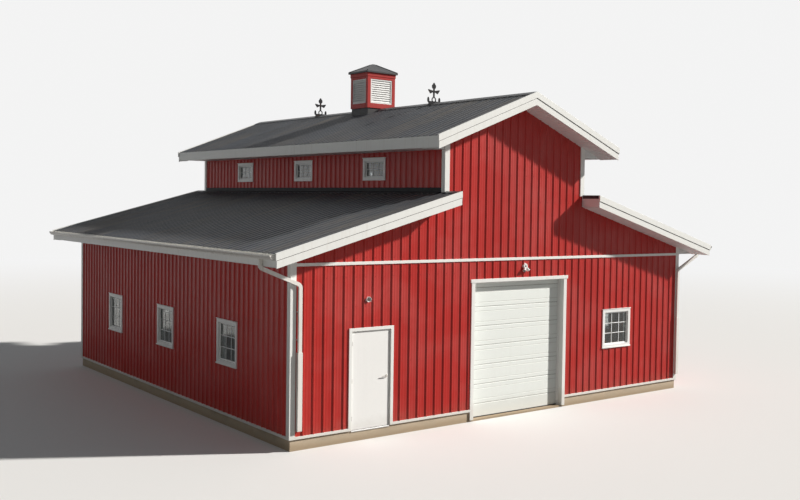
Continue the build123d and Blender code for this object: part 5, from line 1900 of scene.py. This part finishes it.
@dataclass
class Rainwater:
    """Gutters with their hangers, and downspouts."""

    top: float = 3.917
    width: float = 0.125
    hanger_spacing: float = 0.61
    hanger_margin: float = 0.15
    hanger_half: float = 0.012
    hanger_drop: float = 0.010
    hanger_thickness: float = 0.004
    back_gap: float = 0.001
    lip_gap: float = 0.006
    ease: float = 0.001
    spout_ease: float = 0.004

    def build(self) -> None:
        """Eases the gutters and downspouts, and adds the hangers."""
        SHOP.eased("gutters", GUTTER_WHITE, radius=self.ease)
        SHOP.eased("downspouts", GUTTER_WHITE, radius=self.spout_ease)
        hangers = bmesh.new()
        start, low = self.hanger_margin - PANEL_HALF_LENGTH, self.top - self.hanger_drop
        for side in (-1, 1):
            across = span(side * (LOW_FASCIA + self.back_gap),
                          side * (LOW_FASCIA + self.width - self.lip_gap))
            for index in range(int(-2 * start / self.hanger_spacing) + 1):
                middle = start + index * self.hanger_spacing
                SHOP.block(hangers, (across[0], middle - self.hanger_half, low),
                           (across[1], middle + self.hanger_half, low + self.hanger_thickness),
                           self.ease)
        SHOP.finish_piece("gutter_hangers", hangers, GUTTER_WHITE)


@dataclass
class Cupola:
    """Cupola: body, louvres and roof with hip caps."""

    hip_radius: float = 0.017
    hip_taper: float = 0.8
    hip_share: float = 0.97
    rim: float = 0.045
    peak_reach: float = 0.045
    peak_drop: float = 0.012
    body_ease: float = 0.003
    louvre_ease: float = 0.0012
    roof_ease: float = 0.002

    def build(self) -> None:
        """Eases the cupola's pieces and caps its hips."""
        SHOP.eased("cupola_body", CUPOLA_RED, radius=self.body_ease)
        SHOP.eased("cupola_louvres", LOUVRE_WHITE, radius=self.louvre_ease)
        SHOP.eased("cupola_roof", CHARCOAL_FOLDED, radius=self.roof_ease)
        low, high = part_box("cupola_roof")
        start = Vector((high.x, high.y, low.z + self.rim))
        end = Vector((self.peak_reach, self.peak_reach, high.z - self.peak_drop))
        run = end - start
        placing = Matrix.Translation((start + end) / 2) @ turn_to(run)
        hips = bmesh.new()
        for turn in range(4):
            bmesh.ops.create_cone(hips, cap_ends=True, segments=12, radius1=self.hip_radius,
                                  radius2=self.hip_radius * self.hip_taper,
                                  depth=run.length * self.hip_share,
                                  matrix=Matrix.Rotation(radians(90 * turn), 4, "Z") @ placing)
        SHOP.finish_piece("cupola_hip_caps", hips, CHARCOAL_FOLDED)


@dataclass
class Fittings:
    """Ridge finials and outdoor lights."""

    door_light: tuple[float, float, float] = (-4.043, -6.4095, 2.930)
    door_lens: float = 0.036
    flood_root: tuple[float, float, float] = (0.25, -6.390, 3.507)
    flood_aim: tuple[float, float, float] = (0.060, -0.050, -0.100)
    flood_reach: float = 0.1215
    flood_lens: float = 0.0335
    sensor: tuple[float, float, float] = (0.25, -6.409, 3.507)
    sensor_radius: float = 0.024
    bulge: float = 0.35
    finial_ease: float = 0.002
    light_ease: float = 0.0015

    def build(self) -> None:
        """Eases the finials and the lights, and adds lenses."""
        SHOP.eased("ridge_finials", IRON, radius=self.finial_ease)
        SHOP.eased("outdoor_lights", LIGHT_WHITE, radius=self.light_ease)
        lenses = bmesh.new()
        self.lens(lenses, Vector(self.door_light), -Y, self.door_lens)
        root = Vector(self.flood_root)
        for side in (-1, 1):
            aim = Vector((side * self.flood_aim[0], *self.flood_aim[1:])).normalized()
            self.lens(lenses, root + aim * self.flood_reach, aim, self.flood_lens)
        self.lens(lenses, Vector(self.sensor), -Y, self.sensor_radius)
        SHOP.finish_piece("light_lenses", lenses, LAMP_GLASS)

    def lens(self, bm: bmesh.types.BMesh, middle: Vector, out: Vector, radius: float) -> None:
        """Adds a domed lens.

        Args:
            bm: Mesh of the lenses.
            middle: Middle of its foot.
            out: The way it faces.
            radius: Its radius.
        """
        grown = bmesh.ops.create_uvsphere(bm, u_segments=20, v_segments=12, radius=radius)["verts"]
        bmesh.ops.scale(bm, verts=grown, vec=(1.0, 1.0, self.bulge))
        bmesh.ops.transform(bm, matrix=Matrix.Translation(middle) @ turn_to(out), verts=grown)


@dataclass
class Studio:
    """Floor, light and camera."""

    floor_radius: float = 400.0
    sun_strength: float = 5.2
    sun_azimuth: float = 58.0
    sun_elevation: float = 31.0
    sun_width: float = 2.5
    fill: float = 0.13
    pale: float = 0.9
    floor_seen: tuple[float, float, float] = (0.80, 0.795, 0.78)
    floor_bounce: tuple[float, float, float] = (0.24, 0.24, 0.24)
    floor_depth: float = 0.002
    floor_fade: tuple[float, float] = (14.0, 60.0)
    sun_colour: tuple[float, float, float] = (1.0, 0.97, 0.93)
    fill_colour: tuple[float, float, float] = (0.87, 0.94, 1.0)
    eye: tuple[float, float, float] = (-14.951, -23.895, 4.942)
    aim: tuple[float, float, float] = (0.73187, -0.03442, 0.01941)
    lens: float = 44.21
    shift: tuple[float, float] = (-0.1778, -0.01325)

    def build(self) -> None:
        """Sets the view, the floor, the light and the camera."""
        scene = bpy.context.scene
        scene.view_settings.view_transform = "Standard"
        self.floor()
        self.lights(scene)
        self.camera(scene)

    def floor(self) -> None:
        """Lays a plain pale floor that fades into the background."""
        bm = bmesh.new()
        bmesh.ops.create_circle(bm, cap_ends=True, segments=96, radius=self.floor_radius)
        bmesh.ops.translate(bm, verts=bm.verts, vec=(0, 0, -self.floor_depth))
        mesh = bpy.data.meshes.new("studio_floor")
        bm.to_mesh(mesh)
        bm.free()
        made = bpy.data.objects.new("studio_floor", mesh)
        bpy.context.scene.collection.objects.link(made)
        material = bpy.data.materials.new("pale floor")
        material.use_nodes = True
        graph = Graph(material.node_tree)
        shader = material.node_tree.nodes["Principled BSDF"]
        output = material.node_tree.nodes["Material Output"]
        shader.inputs["Roughness"].default_value = 0.9
        away = graph.node("ShaderNodeVectorMath", operation="LENGTH")
        graph.feed(away.inputs[0], graph.node("ShaderNodeTexCoord").outputs["Object"])
        light = graph.node("ShaderNodeLightPath").outputs
        seen = graph.maths("MAXIMUM", light["Is Camera Ray"], light["Is Glossy Ray"])
        colour = graph.blend(seen, self.floor_bounce, self.floor_seen)
        graph.feed(shader.inputs["Base Color"], colour)
        factor = graph.product(graph.remap(away.outputs["Value"], *self.floor_fade), seen)
        glow = graph.node("ShaderNodeEmission")
        glow.inputs["Color"].default_value = (self.pale,) * 3 + (1.0,)
        graph.feed(output.inputs["Surface"], graph.mix(factor, shader, glow))
        mesh.materials.append(material)

    def lights(self, scene: bpy.types.Scene) -> None:
        """Adds a soft key from the front right and an even fill.

        Args:
            scene: The scene.
        """
        lamp = bpy.data.lights.new("key", "SUN")
        lamp.energy = self.sun_strength
        lamp.angle = radians(self.sun_width)
        lamp.color = self.sun_colour
        key = bpy.data.objects.new("key", lamp)
        azimuth, elevation = radians(self.sun_azimuth), radians(self.sun_elevation)
        towards = Vector((sin(azimuth) * cos(elevation), -cos(azimuth) * cos(elevation),
                          sin(elevation)))
        key.rotation_euler = turn_to(towards).to_euler()
        scene.collection.objects.link(key)
        world = bpy.data.worlds.new("studio")
        scene.world = world
        world.use_nodes = True
        graph = Graph(world.node_tree)
        ground = world.node_tree.nodes["Background"]
        output = world.node_tree.nodes["World Output"]
        ground.inputs["Color"].default_value = (*self.fill_colour, 1.0)
        ground.inputs["Strength"].default_value = self.fill
        shown = graph.node("ShaderNodeBackground")
        shown.inputs["Color"].default_value = (self.pale,) * 3 + (1.0,)
        light = graph.node("ShaderNodeLightPath").outputs
        seen = graph.maths("MAXIMUM", light["Is Camera Ray"], light["Is Glossy Ray"])
        seen = graph.maths("MAXIMUM", seen, light["Is Transmission Ray"])
        graph.feed(output.inputs["Surface"], graph.mix(seen, ground, shown))

    def camera(self, scene: bpy.types.Scene) -> None:
        """Places the camera where the photograph was taken.

        Args:
            scene: The scene.
        """
        yaw, pitch, roll = self.aim
        forward = Vector((sin(yaw) * cos(pitch), cos(yaw) * cos(pitch), sin(pitch)))
        level = Vector((cos(yaw), -sin(yaw), 0))
        upright = level.cross(forward)
        right = level * cos(roll) + upright * sin(roll)
        up = upright * cos(roll) - level * sin(roll)
        data = bpy.data.cameras.new("photo_camera")
        data.sensor_width = 36.0
        data.sensor_fit = "HORIZONTAL"
        data.lens = self.lens
        data.shift_x, data.shift_y = self.shift
        data.clip_end = 1000.0
        made = bpy.data.objects.new("photo_camera", data)
        turned = Matrix((right, up, -forward)).transposed().to_4x4()
        made.matrix_world = Matrix.Translation(self.eye) @ turned
        scene.collection.objects.link(made)
        scene.camera = made


def main() -> None:
    """Builds the barn's looks in order."""
    logging.basicConfig(level=logging.INFO, format="%(message)s")
    for part in (Studio(), Groundwork(), Walls(), Roofs(), WallTrim(), OverheadDoor(), ManDoor(),
                 Windows(), Rainwater(), Cupola(), Fittings()):
        part.build()
        log.info("%s done", type(part).__name__)
    bpy.context.view_layer.update()


if __name__ == "__main__":
    main()
